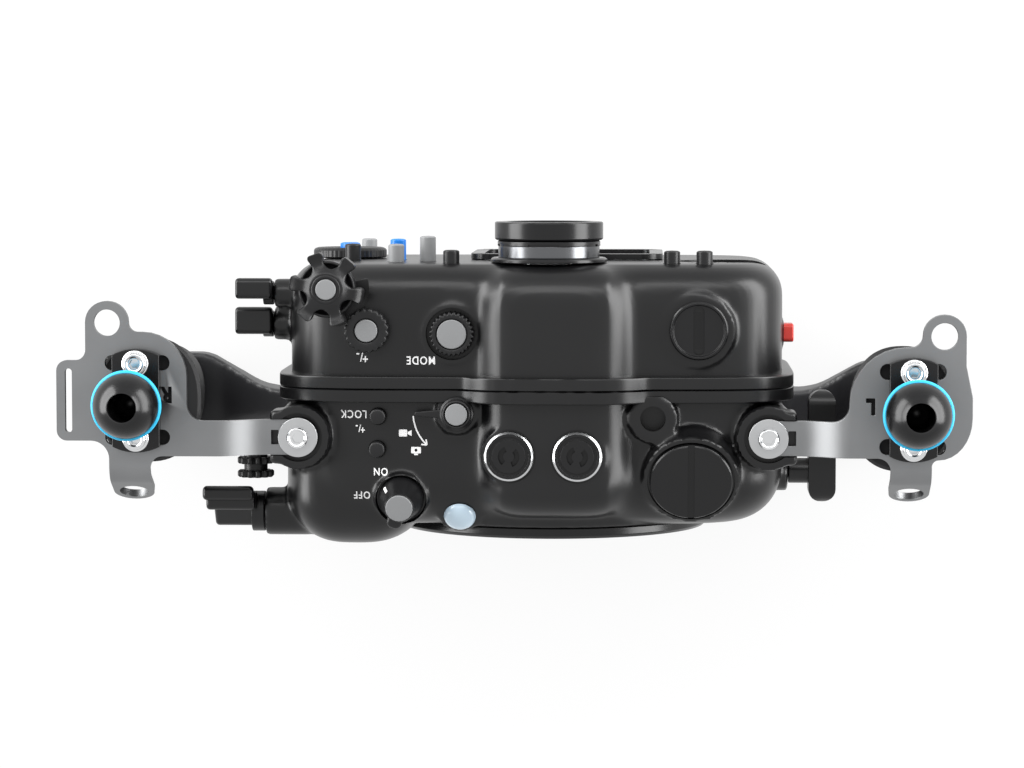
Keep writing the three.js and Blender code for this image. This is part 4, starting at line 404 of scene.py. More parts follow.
def prism(corners: Sequence[Point], low: float, high: float, steps: int = 6) -> BMesh:
    """Raise an outline between two heights.

    Args:
        corners: x, y and rounding radius of each corner, in order.
        low: the lower height.
        high: the upper height.
        steps: segments of each rounded corner.

    Returns:
        A closed shape.
    """
    shape = bmesh.new()
    points = [shape.verts.new((x, y, low)) for x, y, _ in corners]
    shape.faces.new(points)
    count = len(corners)
    for i, (x, y, radius) in enumerate(corners):
        if radius <= 0:
            continue
        back = Vector(corners[i - 1][:2]) - Vector((x, y))
        ahead = Vector(corners[(i + 1) % count][:2]) - Vector((x, y))
        half = back.angle(ahead) / 2
        bmesh.ops.bevel(
            shape, geom=[points[i]], offset=radius / math.tan(half), affect="VERTICES", segments=steps,
            profile=0.5, material=-1, clamp_overlap=False,
        )
    bmesh.ops.remove_doubles(shape, verts=shape.verts, dist=0.001)
    return raised(shape, high - low)


def rounded_corners(
    width: float, height: float, radius: float, x: float = 0.0, y: float = 0.0
) -> list[Point]:
    """List the corners of a rounded rectangle about x and y for prism()."""
    w, h = width / 2, height / 2
    return [(x - w, y - h, radius), (x + w, y - h, radius), (x + w, y + h, radius), (x - w, y + h, radius)]


def prism_along_y(corners: Sequence[Point], front: float, rear: float) -> BMesh:
    """Run an outline drawn in x and z, with its radii, between two y."""
    return swung(prism(corners, -rear, -front), Matrix.Rotation(QUARTER, 3, "X"))


def prism_along_x(corners: Sequence[Point], low: float, high: float) -> BMesh:
    """Run an outline drawn in y and z, with its radii, between two x."""
    return swung(prism(corners, low, high), Matrix(((0, 0, 1), (1, 0, 0), (0, 1, 0))))


def block(low: Point, high: Point, rounding: float = 0.0, segments: int = 3) -> BMesh:
    """Make a box between two corners, with rounded edges where asked.

    Args:
        low: lowest corner.
        high: highest corner.
        rounding: width of the rounded edges.
        segments: steps of the rounding.

    Returns:
        A closed shape.
    """
    size = [high[i] - low[i] for i in range(3)]
    middle = [(high[i] + low[i]) / 2 for i in range(3)]
    shape = bmesh.new()
    bmesh.ops.create_cube(shape, size=1.0, matrix=Matrix.Translation(middle) @ Matrix.Diagonal((*size, 1.0)))
    return softened(shape, rounding, segments=segments) if rounding > 0 else shape


def rod(radius: float, low: float, high: float, rounding: float = 0.0, segments: int = 64) -> BMesh:
    """Make a round bar along z between two heights, its rims rounded where asked."""
    return turned([(0, low), (radius, low), (radius, high), (0, high)], rounding, segments)


def arc_band(radius: float, width: float, start: float, sweep: float) -> BMesh:
    """Make a flat band along an arc.

    Args:
        radius: its middle radius.
        width: its width.
        start: its first angle in degrees.
        sweep: how far it goes in degrees.

    Returns:
        The band.
    """
    shape = bmesh.new()
    inner, outer = shape.verts.new((radius - width / 2, 0, 0)), shape.verts.new((radius + width / 2, 0, 0))
    shape.edges.new((inner, outer))
    swung(shape, Matrix.Rotation(math.radians(start), 3, "Z"))
    return spun(shape, math.radians(sweep), max(int(abs(sweep) / 6), 4))


def ring_slot(radius: float, width: float, low: float, high: float, start: float, sweep: float) -> BMesh:
    """Make the cutter of a slot along an arc, like arc_band() raised from its floor to its open end."""
    shape = raised(arc_band(radius, width, start, sweep), high - low)
    bmesh.ops.translate(shape, vec=(0, 0, low), verts=shape.verts)
    return shape


def flat(corners: Sequence[Point], hole: float = 0.0) -> BMesh:
    """Make a flat face with rounded corners.

    Args:
        corners: x, y and rounding radius of each corner, in order.
        hole: radius of a hole in its origin, or zero.

    Returns:
        The face.
    """
    shape = prism(corners, 0.0, 1.0, 4)
    if hole > 0:
        shape = carved(shape, [rod(hole, -1, 2, segments=24)])
    return sliced(shape, (0, 0, 0), (0, 0, 1), slack=0.01)


def loft(stations: Sequence[tuple[float, ...]], ring: Ring, segments: int, closed: bool = False) -> BMesh:
    """Carry a ring through stations, and close both ends or join the last ring to the first.

    Args:
        stations: what each ring is made from.
        ring: gives the point of a station's ring at an angle.
        segments: points of a ring.
        closed: whether the last ring joins the first.

    Returns:
        A closed shape.
    """
    shape = bmesh.new()
    turn = shape.verts.layers.float.new("turn")
    circle = bmesh.ops.create_circle(shape, cap_ends=False, radius=1.0, segments=segments)
    for vert in circle["verts"]:
        vert[turn] = math.atan2(vert.co.y, vert.co.x)
        vert.co = ring(stations[0], vert[turn])
    first = shape.edges[:]
    edges = first
    for station in stations[1:]:
        grown = bmesh.ops.extrude_edge_only(shape, edges=edges)["geom"]
        fresh = {item for item in grown if isinstance(item, BMVert)}
        for vert in fresh:
            vert.co = ring(station, vert[turn])
        edges = [item for item in grown if isinstance(item, BMEdge) and set(item.verts) <= fresh]
    if closed:
        bmesh.ops.bridge_loops(shape, edges=first + edges)
    else:
        bmesh.ops.holes_fill(shape, edges=[edge for edge in shape.edges if edge.is_boundary], sides=0)
    bmesh.ops.recalc_face_normals(shape, faces=shape.faces)
    return shape


def through(shape: BMesh, *modifiers: tuple[str, dict]) -> BMesh:
    """Run a shape through modifiers in turn.

    Args:
        shape: the shape, used up by this.
        *modifiers: type and settings of each modifier.

    Returns:
        The shape with the modifiers applied.
    """
    mesh = mesh_from(shape, "work")
    worker = in_scene("work", mesh)
    for kind, settings in modifiers:
        modifier = worker.modifiers.new(kind, kind)
        for name, value in settings.items():
            setattr(modifier, name, value)
    result = bmesh.new()
    result.from_object(worker, bpy.context.evaluated_depsgraph_get())
    bpy.data.objects.remove(worker)
    bpy.data.meshes.remove(mesh)
    return result


def cast(shape: BMesh, voxel: float, passes: int) -> BMesh:
    """Melt overlapping shapes, down to voxels of a size, into one skin and smooth it a number of times."""
    remesh = {"mode": "VOXEL", "voxel_size": voxel, "adaptivity": 0.0}
    return through(shape, ("REMESH", remesh), ("SMOOTH", {"factor": 0.5, "iterations": passes}))


def carved(shape: BMesh, cutters: Iterable[BMesh], operation: str = "DIFFERENCE") -> BMesh:
    """Cut shapes out of a shape, or keep what it shares with one.

    Args:
        shape: what is cut, used up by this.
        cutters: closed shapes, used up by this.
        operation: DIFFERENCE or INTERSECT.

    Returns:
        What is left.
    """
    group = bpy.data.collections.new("cutters")
    bpy.context.scene.collection.children.link(group)
    tools = [bpy.data.objects.new("cutter", mesh_from(cutter, "cutter")) for cutter in cutters]
    for tool in tools:
        group.objects.link(tool)
    settings = {"operation": operation, "solver": "EXACT", "operand_type": "COLLECTION", "collection": group}
    left = through(shape, ("BOOLEAN", settings))
    for tool in tools:
        mesh = tool.data
        bpy.data.objects.remove(tool)
        bpy.data.meshes.remove(mesh)
    bpy.data.collections.remove(group)
    bmesh.ops.remove_doubles(left, verts=left.verts, dist=0.0005)
    return left


def finished(
    name: str, shape: BMesh, finish: Finish, body: str, nodes: Sequence[str] = (), sharp: float = 35.0
) -> bpy.types.Object:
    """Turn a shape into a finished piece that rides on a body.

    Args:
        name: the piece's name.
        shape: its shape in millimetres, used up by this.
        finish: what it is made of.
        body: the body that it moves with.
        nodes: the CAD nodes that it stands for.
        sharp: edges that turn more than this many degrees show as edges.

    Returns:
        The piece's object.
    """
    bmesh.ops.scale(shape, vec=(MILLIMETRE,) * 3, verts=shape.verts)
    mesh = mesh_from(shape, name)
    mesh.materials.clear()
    mesh.materials.append(finish.material())
    mesh.polygons.foreach_set("material_index", [0] * len(mesh.polygons))
    mesh.polygons.foreach_set("use_smooth", [True] * len(mesh.polygons))
    mesh.set_sharp_from_angle(angle=math.radians(sharp))
    piece = in_scene(name, mesh)
    even = piece.modifiers.new("large_faces_first", "WEIGHTED_NORMAL")
    even.keep_sharp = True
    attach(piece, body)
    if nodes:
        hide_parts(*nodes)
    log.info("%s: %d faces on %s", name, len(mesh.polygons), body)
    return piece


def dressed(node: str, finish: Finish) -> None:
    """Give a CAD node that stays its material.

    Args:
        node: the node's name.
        finish: what it is made of.
    """
    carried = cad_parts[node]
    for slot in carried.material_slots:
        slot.material = finish.material()
    log.info("%s: kept from the solids", node)


def letters(words: str, size: float, weight: float = 0.022) -> BMesh:
    """Draw words as flat faces about their middle.

    Args:
        words: what they say.
        size: height of a capital in millimetres.
        weight: how far the strokes swell, over the height.

    Returns:
        The faces.
    """
    curve = bpy.data.curves.new("words", "FONT")
    curve.body = words
    curve.align_x = "CENTER"
    curve.align_y = "CENTER"
    curve.size = size / CAPITAL_SHARE
    curve.resolution_u = 3
    curve.offset = size * weight
    curve.space_character = 1.16
    holder = in_scene("words", curve)
    bpy.context.view_layer.update()
    mesh = bpy.data.meshes.new_from_object(holder)
    shape = bmesh.new()
    shape.from_mesh(mesh)
    bpy.data.objects.remove(holder)
    bpy.data.curves.remove(curve)
    bpy.data.meshes.remove(mesh)
    bmesh.ops.remove_doubles(shape, verts=shape.verts, dist=0.001)
    bmesh.ops.scale(shape, vec=(NARROWING, 1.0, 1.0), verts=shape.verts)
    return shape


@dataclass(frozen=True)
class Oval:
    """A rounded square across x and z, from which the shells, the hump and the bulge are lofted."""

    x: float
    z: float
    half_width: float
    half_height: float
    squareness: float

    def point(self, inset: float, y: float, turn: float) -> Point:
        """Return the point of the outline at an angle, drawn in by an inset."""
        power = 2 / self.squareness
        across, up = math.cos(turn), math.sin(turn)
        return (
            self.x + (self.half_width - inset) * math.copysign(abs(across) ** power, across),
            y,
            self.z + (self.half_height - inset) * math.copysign(abs(up) ** power, up),
        )

    def reach(self, inset: float, start: tuple[float, float], turn: float) -> float:
        """Measure how far a ray runs inside the outline.

        Args:
            inset: how far the outline is drawn in.
            start: x and z where the ray starts.
            turn: the angle of the ray.

        Returns:
            The distance to the far crossing, or zero where the ray misses.
        """
        wide, high = self.half_width - inset, self.half_height - inset
        far, step = 0.0, RAY_STEP
        for i in range(1, int(LONGEST_RAY / step)):
            x = start[0] + i * step * math.cos(turn) - self.x
            z = start[1] + i * step * math.sin(turn) - self.z
            if abs(x / wide) ** self.squareness + abs(z / high) ** self.squareness <= 1:
                far = i * step
        return far

    def body(
        self, front: float, front_rounding: float, rear: float, rear_rounding: float, inset: float = 0.0
    ) -> BMesh:
        """Loft the outline from front to rear with rounded ends.

        Args:
            front: lowest y.
            front_rounding: radius of the front edge, or zero for a flat end.
            rear: highest y.
            rear_rounding: radius of the rear edge, or zero for a flat end.
            inset: how far the whole form is drawn in.

        Returns:
            A closed shape.
        """
        steps = 8
        arc = [QUARTER * i / steps for i in range(steps + 1)]
        stations = [(front, 0.0)] if front_rounding <= 0 else [
            (front + front_rounding * (1 - math.cos(a)), front_rounding * (1 - math.sin(a))) for a in arc
        ]
        stations += [(rear, 0.0)] if rear_rounding <= 0 else [
            (rear - rear_rounding * (1 - math.cos(a)), rear_rounding * (1 - math.sin(a)))
            for a in reversed(arc)
        ]
        return loft(stations, lambda s, turn: self.point(inset + s[1], s[0], turn), 96)


SHELL = Oval(-5.25, 71.5, 96.65, 65.5, 6)
HUMP = Oval(3.0, 120.0, 30.0, 27.0, 4)
BULGE = Oval(-75.7, 75.0, 28.3, 57.0, 4)
FRONT_Y, FRONT_ROUNDING = -30.0, 20.5
REAR_Y, REAR_ROUNDING = 72.0, 12.0
HUMP_FRONT_Y, HUMP_ROUNDING = -26.0, 14.0
BULGE_FRONT_Y, BULGE_REAR_Y, BULGE_ROUNDING = -38.4, 19.0, 20.0


class Control:
    """Seats of the controls, as the solids have them."""

    STAR = Seat(-84.02, 62.784, 134.925)
    EXPOSURE = Seat(-69.329, 46.704, 136.638)
    MODE = Seat(-36.661, 45.312, 132.987)
    POWER = Seat(-56.475, -18.822, 136.886, lean=12)
    DRIVE = Seat(-34.632, 14.82, 140.191)
    LAMP = Seat(-34.052, -25.572, 130.414, lean=34)
    VACUUM = Seat(58.104, 46.704, 137.104)
    CAP = Seat(55.301, -10.506, 137.897, lean=24)
    ACCESSORY = Seat(40.601, 13.2, 142.875)
    RIGHT_PLUG = Seat(-14.432, -1.001, 145.595)
    LEFT_PLUG = Seat(11.76, -1.001, 146.351)
    LOCK = Seat(-65.27, 13.47, 136.358)
    CUSTOM = Seat(-65.56, 0.78, 136.339)
    SHUTTER = Seat(-111.9, -26.598, 105.822, Facing.RIGHT_HAND)
    RECORD = Seat(-108.5, 47.52, 104.905, Facing.RIGHT_HAND)
    AF_ON = Seat(-107.3, 60.0, 114.73, Facing.RIGHT_HAND)
    PORT_LEVER = Seat(94.4, -12.126, 81.325, Facing.LEFT_HAND)
    FRONT_DIAL = Seat(-115.3, -4.4, 112.503, Facing.FRONT)
    PORT = Seat(0.0, FRONT_Y - 0.4, 68.0, Facing.FRONT)
    FINDER = Seat(0.0, REAR_Y, 116.0, Facing.REAR)
    WHEEL = Seat(-81.845, REAR_Y, 65.605, Facing.REAR)
    LATCH = Seat(67.527, REAR_Y - 8, 95.997, Facing.REAR)


# Place on the rear face, height over it and finish of each button.
REAR_BUTTONS: dict[str, tuple[float, float, float, Finish]] = {
    "playback_button": (-78.221, 95.08, 6.8, Finishes.nylon),
    "function_button": (-60.244, 106.739, 7.0, Finishes.acetal),
    "record_button": (-61.114, 83.29, 8.4, Finishes.blue),
    "focus_button": (-48.163, 100.844, 10.0, Finishes.acetal),
    "disp_button": (-37.724, 122.328, 5.2, Finishes.nylon),
    "menu_button": (47.811, 122.328, 5.0, Finishes.nylon),
    "custom_rear_button": (60.375, 122.328, 5.0, Finishes.nylon),
    "delete_button": (-75.901, 42.156, 7.4, Finishes.acetal),
}
# Nodes that show the solids as they are.
KEPT = {
    "main_seal": Finishes.seal,
    "rear_window": Finishes.pane,
    "camera_tray": Finishes.turned,
    "tray_screw": Finishes.steel,
}
LATCH_BUTTON = (43.7, 91.15)
# How deep the grey caps sink into their controls, and the cams' x inside the right wall.
CAP_SINK = 1.6
RIGHT_CAM_X = -90.9
HANDS = {"right": -1, "left": 1}
CLEVIS_X = {"right": -96.0, "left": 84.9}
CLEVIS_Y = 5.4
WALL_X = {"right": -101.9, "left": 91.4}
# Sheet plates over the grips: their upper face, and how far the ball's screws stand before and behind it.
PLATE_TOP = 147.0
BALL_SCREW_REACH = 14.3
GRIP_LOW, GRIP_HIGH, GRIP_SPREAD, GRIP_FORWARD = 14.3, 143.7, 10.0, 6.0
# Rear window: its middle in x and z, its width and height.
WINDOW = (6.1, 56.5)
WINDOW_SIZE = (66.0, 54.0)


def boss(seat: Seat, radius: float, depth: float = 12.0, proud: float = 0.0) -> BMesh:
    """Make a round rise of a casting, rooted in the wall, with stock above its seat where asked."""
    return placed(rod(radius, -depth, proud, segments=48), seat)


def drilled(seat: Seat, radius: float, depth: float, above: float = 3.0, rounding: float = 0.0) -> BMesh:
    """Make the cutter of a round hole or flat spot that starts above its seat."""
    return placed(rod(radius, -depth, above, rounding, 48), seat)


def lever_shaft(seat: Seat, length: float, face: Sequence[Pair], rounding: float, segments: int) -> BMesh:
    """Turn the shaft of a lever, from the cam inside the wall to the hub outside.

    Args:
        seat: where the shaft leaves the wall.
        length: how far it reaches in from there.
        face: radius and height of the hub's corners, from its rim to the axis.
        rounding: width of the rounded edges.
        segments: facets round it.

    Returns:
        A closed shape.
    """
    cam, shaft, cam_depth, clear = 4.4, 2.5, 1.8, GAP
    inside = [(0, -length), (cam, -length), (cam, cam_depth - length), (shaft, cam_depth - length)]
    return placed(turned([*inside, (shaft, clear), (face[0][0], clear), *face], rounding, segments), seat)


def hex_socket(radius: float, floor: float, top: float) -> BMesh:
    """Make the cutter of a socket for a hexagon key."""
    turns = [i * math.pi / 3 for i in range(6)]
    return prism([(radius * math.cos(turn), radius * math.sin(turn), 0) for turn in turns], floor, top)


def notched(teeth: int, sharpness: float = 2.0) -> Ring:
    """Make the ring of a dial with rounded notches.

    Args:
        teeth: notches round its rim.
        sharpness: how narrow they are.

    Returns:
        A ring for loft(); its stations are height, radius and notch depth.
    """

    def ring(station: tuple[float, ...], turn: float) -> Point:
        """Return the point of a station's ring at an angle."""
        height, radius, depth = station
        reach = radius - depth * (0.5 + 0.5 * math.cos(turn * teeth)) ** sharpness
        return reach * math.cos(turn), reach * math.sin(turn), height

    return ring


@dataclass(frozen=True)
class Lip:
    """The flange that runs round a shell at the parting plane, one clean band over both forms."""

    overhang: float = 4.5
    depth: float = 4.85
    inner: float = 5.8
    blend: float = 9.0
    edge: float = 0.7
    chamfer: float = 0.3
    groove: Point | None = None

    def point(self, station: tuple[float, float], turn: float) -> Point:
        """Return the point of the joined outline of shell and hump at an angle."""
        y, inset = station
        start = (SHELL.x, SHELL.z)
        wide, high = SHELL.half_width - inset, SHELL.half_height - inset
        power = SHELL.squareness
        side = (abs(math.cos(turn) / wide) ** power + abs(math.sin(turn) / high) ** power) ** (-1 / power)
        upward = 0.6 < turn < 2.6
        crown = HUMP.reach(inset, start, turn) if upward else 0.0
        near = max(self.blend - abs(side - crown), 0.0) / self.blend
        reach = max(side, crown) + near * near * self.blend / 4
        return start[0] + reach * math.cos(turn), y, start[1] + reach * math.sin(turn)

    def build(self, parting: float, away: int) -> BMesh:
        """Loft the lip as a closed band.

        Args:
            parting: y of its face.
            away: +1 for the rear shell, -1 for the front shell.

        Returns:
            A closed shape.
        """
        far = parting + away * self.depth
        edge = self.edge
        stations = [
            (far, self.inner),
            (far, 2 - self.overhang),
            (far, edge - self.overhang),
            (far - away * edge * 0.3, edge * 0.3 - self.overhang),
            (far - away * edge, -self.overhang),
            (parting + away * self.chamfer, -self.overhang),
            (parting, self.chamfer - self.overhang),
        ]
        if self.groove:
            near, wide, deep = self.groove
            floor = parting + away * deep
            stations += [(parting, near), (floor, near), (floor, near + wide), (parting, near + wide)]
        stations.append((parting, self.inner))
        return loft(stations, self.point, 360, closed=True)


@dataclass(frozen=True)
class Casting:
    """What both castings share: a soft skin, bosses that melt into it, cuts, and an open end at the lip."""

    away: int
    voxel: float = 1.1
    wall: float = 6.0
    skin_passes: int = 12
    boss_passes: int = 3
    fillet_passes: int = 40
    fillet_near: float = 9.0
    fillet_far: float = 14.0
    fillet_floor: float = 128.0
    lip_room: float = 2.5

    def eased(self, skin: BMesh) -> BMesh:
        """Ease the fillets where the hump runs into the shell and return the skin."""
        near, far = HUMP.half_width - self.fillet_near, HUMP.half_width + self.fillet_far
        fillets = [
            v for v in skin.verts if near < abs(v.co.x - HUMP.x) < far and v.co.z > self.fillet_floor
        ]
        for _ in range(self.fillet_passes):
            smoothed(skin, fillets)
        return skin

    def melted(self, forms: Sequence[BMesh], bosses: Sequence[BMesh], cuts: Sequence[BMesh]) -> BMesh:
        """Melt forms and bosses to one skin, cut it, and open it short of the parting.

        Args:
            forms: the large soft forms.
            bosses: every rise on them.
            cuts: what is cut out.

        Returns:
            The casting without its lip.
        """
        skin = self.eased(cast(joined(*forms), self.voxel * 1.2, self.skin_passes))
        body = carved(cast(joined(skin, *bosses), self.voxel, self.boss_passes), cuts)
        return sliced(body, (0, PARTING_Y + self.away * self.lip_room, 0), (0, -self.away, 0))


@dataclass(frozen=True)
class FrontShell(Casting):
    """The front casting: bulge, port boss, control bosses, clevises and base pad."""

    away: int = -1
    port_boss: float = 64.0
    port_bore: float = 50.3
    ring_room: float = 62.9
    pad_half: float = 45.0
    clevis_radius: float = 12.4
    clevis_top: float = 139.8
    clevis_drop: float = 34.0
    ear: float = 11.0
    ear_half: float = 10.4
    washer_pocket: float = 9.4
    pocket_floor: float = 135.3
    strap_half: float = 7.1
    strap_screw: float = 3.2
    pad_front: float = -22.0
    pad_rear: float = 22.0
    pad_screws: Pair = (-30.0, 30.0)
    rails: Pair = (-35.0, 35.0)
    rail_half: float = 4.0
    dial_boss: Seat = Seat(-115.3, 1.0, 112.5, Facing.REAR)
    plugs: tuple[Seat, ...] = (Control.RIGHT_PLUG, Control.LEFT_PLUG)
    buttons: tuple[Seat, ...] = (Control.LOCK, Control.CUSTOM)

    def forms(self) -> list[BMesh]:
        """Return the soft forms under the bosses."""
        past = PARTING_Y + 8
        return [
            SHELL.body(FRONT_Y, FRONT_ROUNDING, past, 0),
            HUMP.body(HUMP_FRONT_Y, HUMP_ROUNDING, past, 0),
            BULGE.body(BULGE_FRONT_Y, BULGE_ROUNDING, BULGE_REAR_Y, 0),
        ]

    def clevis(self, side: str) -> list[BMesh]:
        """Return the post and the ears that hold the strap of one bracket."""
        x = CLEVIS_X[side]
        ends = sorted((x, x + HANDS[side] * self.ear))
        top = self.clevis_top
        seat = Seat(x, CLEVIS_Y, top)
        low = (ends[0], CLEVIS_Y - self.ear_half, top - self.clevis_drop / 2)
        return [
            boss(seat, self.clevis_radius, self.clevis_drop),
            block(low, (ends[1], CLEVIS_Y + self.ear_half, top), 1.5),
        ]

    def clevis_cuts(self, side: str) -> list[BMesh]:
        """Return the cutters of the washer pocket and of the strap's way out."""
        x, floor, past = CLEVIS_X[side], self.pocket_floor, 8.0
        seat = Seat(x, CLEVIS_Y, floor)
        ends = sorted((x, x + HANDS[side] * (self.ear + 4)))
        low = (ends[0], CLEVIS_Y - self.strap_half, floor)
        return [
            drilled(seat, self.washer_pocket, 0.0, past),
            block(low, (ends[1], CLEVIS_Y + self.strap_half, floor + past)),
            drilled(seat, self.strap_screw, 13.0),
        ]

    def bosses(self) -> list[BMesh]:
        """Return every rise on the front casting."""
        port = self.port_boss
        flare = [(0, -8), (port + 5, -8), (port + 1.5, -4), (port, 0), (0, 0)]
        web = (-115.3, 1.0, 108.2), (-95.0, 7.4, 116.8)
        return [
            placed(turned(flare, 0.0, 96), Control.PORT),
            boss(Control.POWER, 10.4, 12, 0.3),
            boss(Control.DRIVE, 8.2),
            boss(Control.LAMP, 8.4),
            boss(Control.CAP, 18.6, 12, 1.2),
            boss(Control.ACCESSORY, 9.5, 14),
            *[boss(seat, 10.9) for seat in self.plugs],
            *self.clevis("right"),
            *self.clevis("left"),
            boss(Control.SHUTTER, 9.4, 18),
            boss(Control.PORT_LEVER, 8, 10),
            placed(rod(5.4, 0, 6.4, 0.8, 32), self.dial_boss),
            block(*web, 1.5),
            block((-self.pad_half, self.pad_front, 0), (self.pad_half, self.pad_rear, 12), 1.2),
        ]

    def cuts(self) -> list[BMesh]:
        """Return every cutter of the front casting."""
        past = PARTING_Y + 12
        wall = self.wall
        return [
            SHELL.body(FRONT_Y + wall, FRONT_ROUNDING - wall, past, 0, wall),
            HUMP.body(HUMP_FRONT_Y + wall, HUMP_ROUNDING - wall, past, 0, wall),
            BULGE.body(BULGE_FRONT_Y + wall, BULGE_ROUNDING - wall, BULGE_REAR_Y - 1, 0, wall),
            drilled(Control.PORT, self.port_bore, 30, 12),
            drilled(Control.PORT, self.ring_room, 0, 12),
            *[drilled(seat, 10.3, 0.0) for seat in self.plugs],
            *[drilled(seat, 3.5, 2.4) for seat in self.buttons],
            drilled(Control.CAP, 16.9, 0.0, 16),
            drilled(Control.POWER, 9.9, 2.6, 9, 0.6),
            drilled(Control.LAMP, 7.1, 0.0, 3.6),
            drilled(Control.DRIVE, 7.5, 0.0, 5.6),
            drilled(Control.ACCESSORY, 4.85, 9, 3),
            *self.clevis_cuts("right"),
            *self.clevis_cuts("left"),
            *[drilled(Seat(x, 0, 0, Facing.DOWN), 3, 7) for x in self.pad_screws],
        ]

    def build(self) -> bpy.types.Object:
        """Build the casting with its lip and return it."""
        body = self.melted(self.forms(), self.bosses(), self.cuts())
        lip = Lip(groove=(0.7, 3.4, 1.9)).build(PARTING_Y - GAP / 2, self.away)
        half = self.rail_half
        rails = [block((x - half, -16, 10), (x + half, 20, 17), 0.6) for x in self.rails]
        whole = joined(body, lip, *rails)
        return finished("front_casting", whole, Finishes.casting, "housing_front", ["front_shell"], 38)


@dataclass(frozen=True)
class RearShell(Casting):
    """The rear casting: dial bosses and scoops, window and finder seats, latch pocket."""

    away: int = 1
    rear: float = REAR_Y
    mode_rim: float = 137.8
    pane_border: float = 6.6
    pane_depth: float = 3.8

    def forms(self) -> list[BMesh]:
        """Return the soft forms under the bosses."""
        past = PARTING_Y - 8
        return [
            SHELL.body(past, 0, self.rear, REAR_ROUNDING),
            HUMP.body(past, 0, self.rear - GAP, HUMP_ROUNDING),
        ]

    def bosses(self) -> list[BMesh]:
        """Return every rise on the rear casting."""
        guide = rounded_corners(10.0, 13.8, 3.0, *LATCH_BUTTON)
        return [
            boss(Control.EXPOSURE, 7),
            boss(Seat(Control.MODE.x, Control.MODE.y, self.mode_rim), 11.5, 6),
            block((-106.9, 46.0, 99.5), (-92.0, 61.0, 110.0), 1.5),
            boss(Control.VACUUM, 14),
            boss(Control.RECORD, 6.4, 14),
            boss(Control.AF_ON, 5.6, 14),
            prism_along_x(guide, 85.4, 92.2),
        ]

    def cuts(self) -> list[BMesh]:
        """Return every cutter of the rear casting."""
        past = PARTING_Y - 12
        wall, rear = self.wall, self.rear
        star, mode, latch, finder = Control.STAR, Control.MODE, Control.LATCH, Control.FINDER
        hollow = carved(
            SHELL.body(past, 0, rear - wall, REAR_ROUNDING - wall, wall),
            [drilled(latch, 20.6, wall, 12), drilled(mode, 14.6, wall, 12)],
        )
        scoop = turned([(9, -0.9), (15.2, -0.9), (15.9, 8), (9, 8), (9, -0.9)], 0.0)
        wide, high = WINDOW_SIZE
        window = rounded_corners(wide, high, 4, *WINDOW)
        pane = rounded_corners(wide + self.pane_border, high + self.pane_border, 7, *WINDOW)
        return [
            hollow,
            HUMP.body(past, 0, rear - GAP - wall, HUMP_ROUNDING - wall, wall),
            placed(scoop, star),
            drilled(star, 9.2, 0, 12),
            drilled(mode, 10.1, 0, 20),
            drilled(latch, 17.6, 0, 20),
            prism_along_y(window, rear - 14, rear + 4),
            prism_along_y(pane, rear - self.pane_depth, rear + 4),
            drilled(finder, 13, 20),
            drilled(finder, 14.5, 3.3),
            *[drilled(Seat(x, rear, z, Facing.REAR), 3.6, 2.5) for x, z, *_ in REAR_BUTTONS.values()],
            prism_along_x(rounded_corners(7.8, 11.6, 1.9, *LATCH_BUTTON), 80, 96),
        ]

    def build(self) -> bpy.types.Object:
        """Build the casting with its lip and return it."""
        body = self.melted(self.forms(), self.bosses(), self.cuts())
        lip = Lip().build(PARTING_Y + GAP / 2, self.away)
        return finished("rear_casting", joined(body, lip), Finishes.casting, "rear_door", ["rear_shell"], 38)


def spindle(seat: Seat, name: str, body: str, height: float, cap_radius: float, gear_top: float) -> None:
    """Build the head, shaft and inner gear of a control.

    Args:
        seat: where the control sits.
        name: the name of the control.
        body: the body that it moves with.
        height: top of the control over its seat.
        cap_radius: radius of the head.
        gear_top: height of the gear's upper face.
    """
    gear, shaft, thick = 4.2, 2.4, 2.4
    under, over = height - 1.3, height + 0.4
    profile = [
        (0, gear_top - thick), (gear, gear_top - thick), (gear, gear_top), (shaft, gear_top),
        (shaft, under), (cap_radius, under), (cap_radius, over), (0, over),
    ]
    shape = placed(turned(profile, 0.35, 48), seat)
    finished(f"{name}_cap", shape, Finishes.acetal, body, [f"{name}_spindle"])


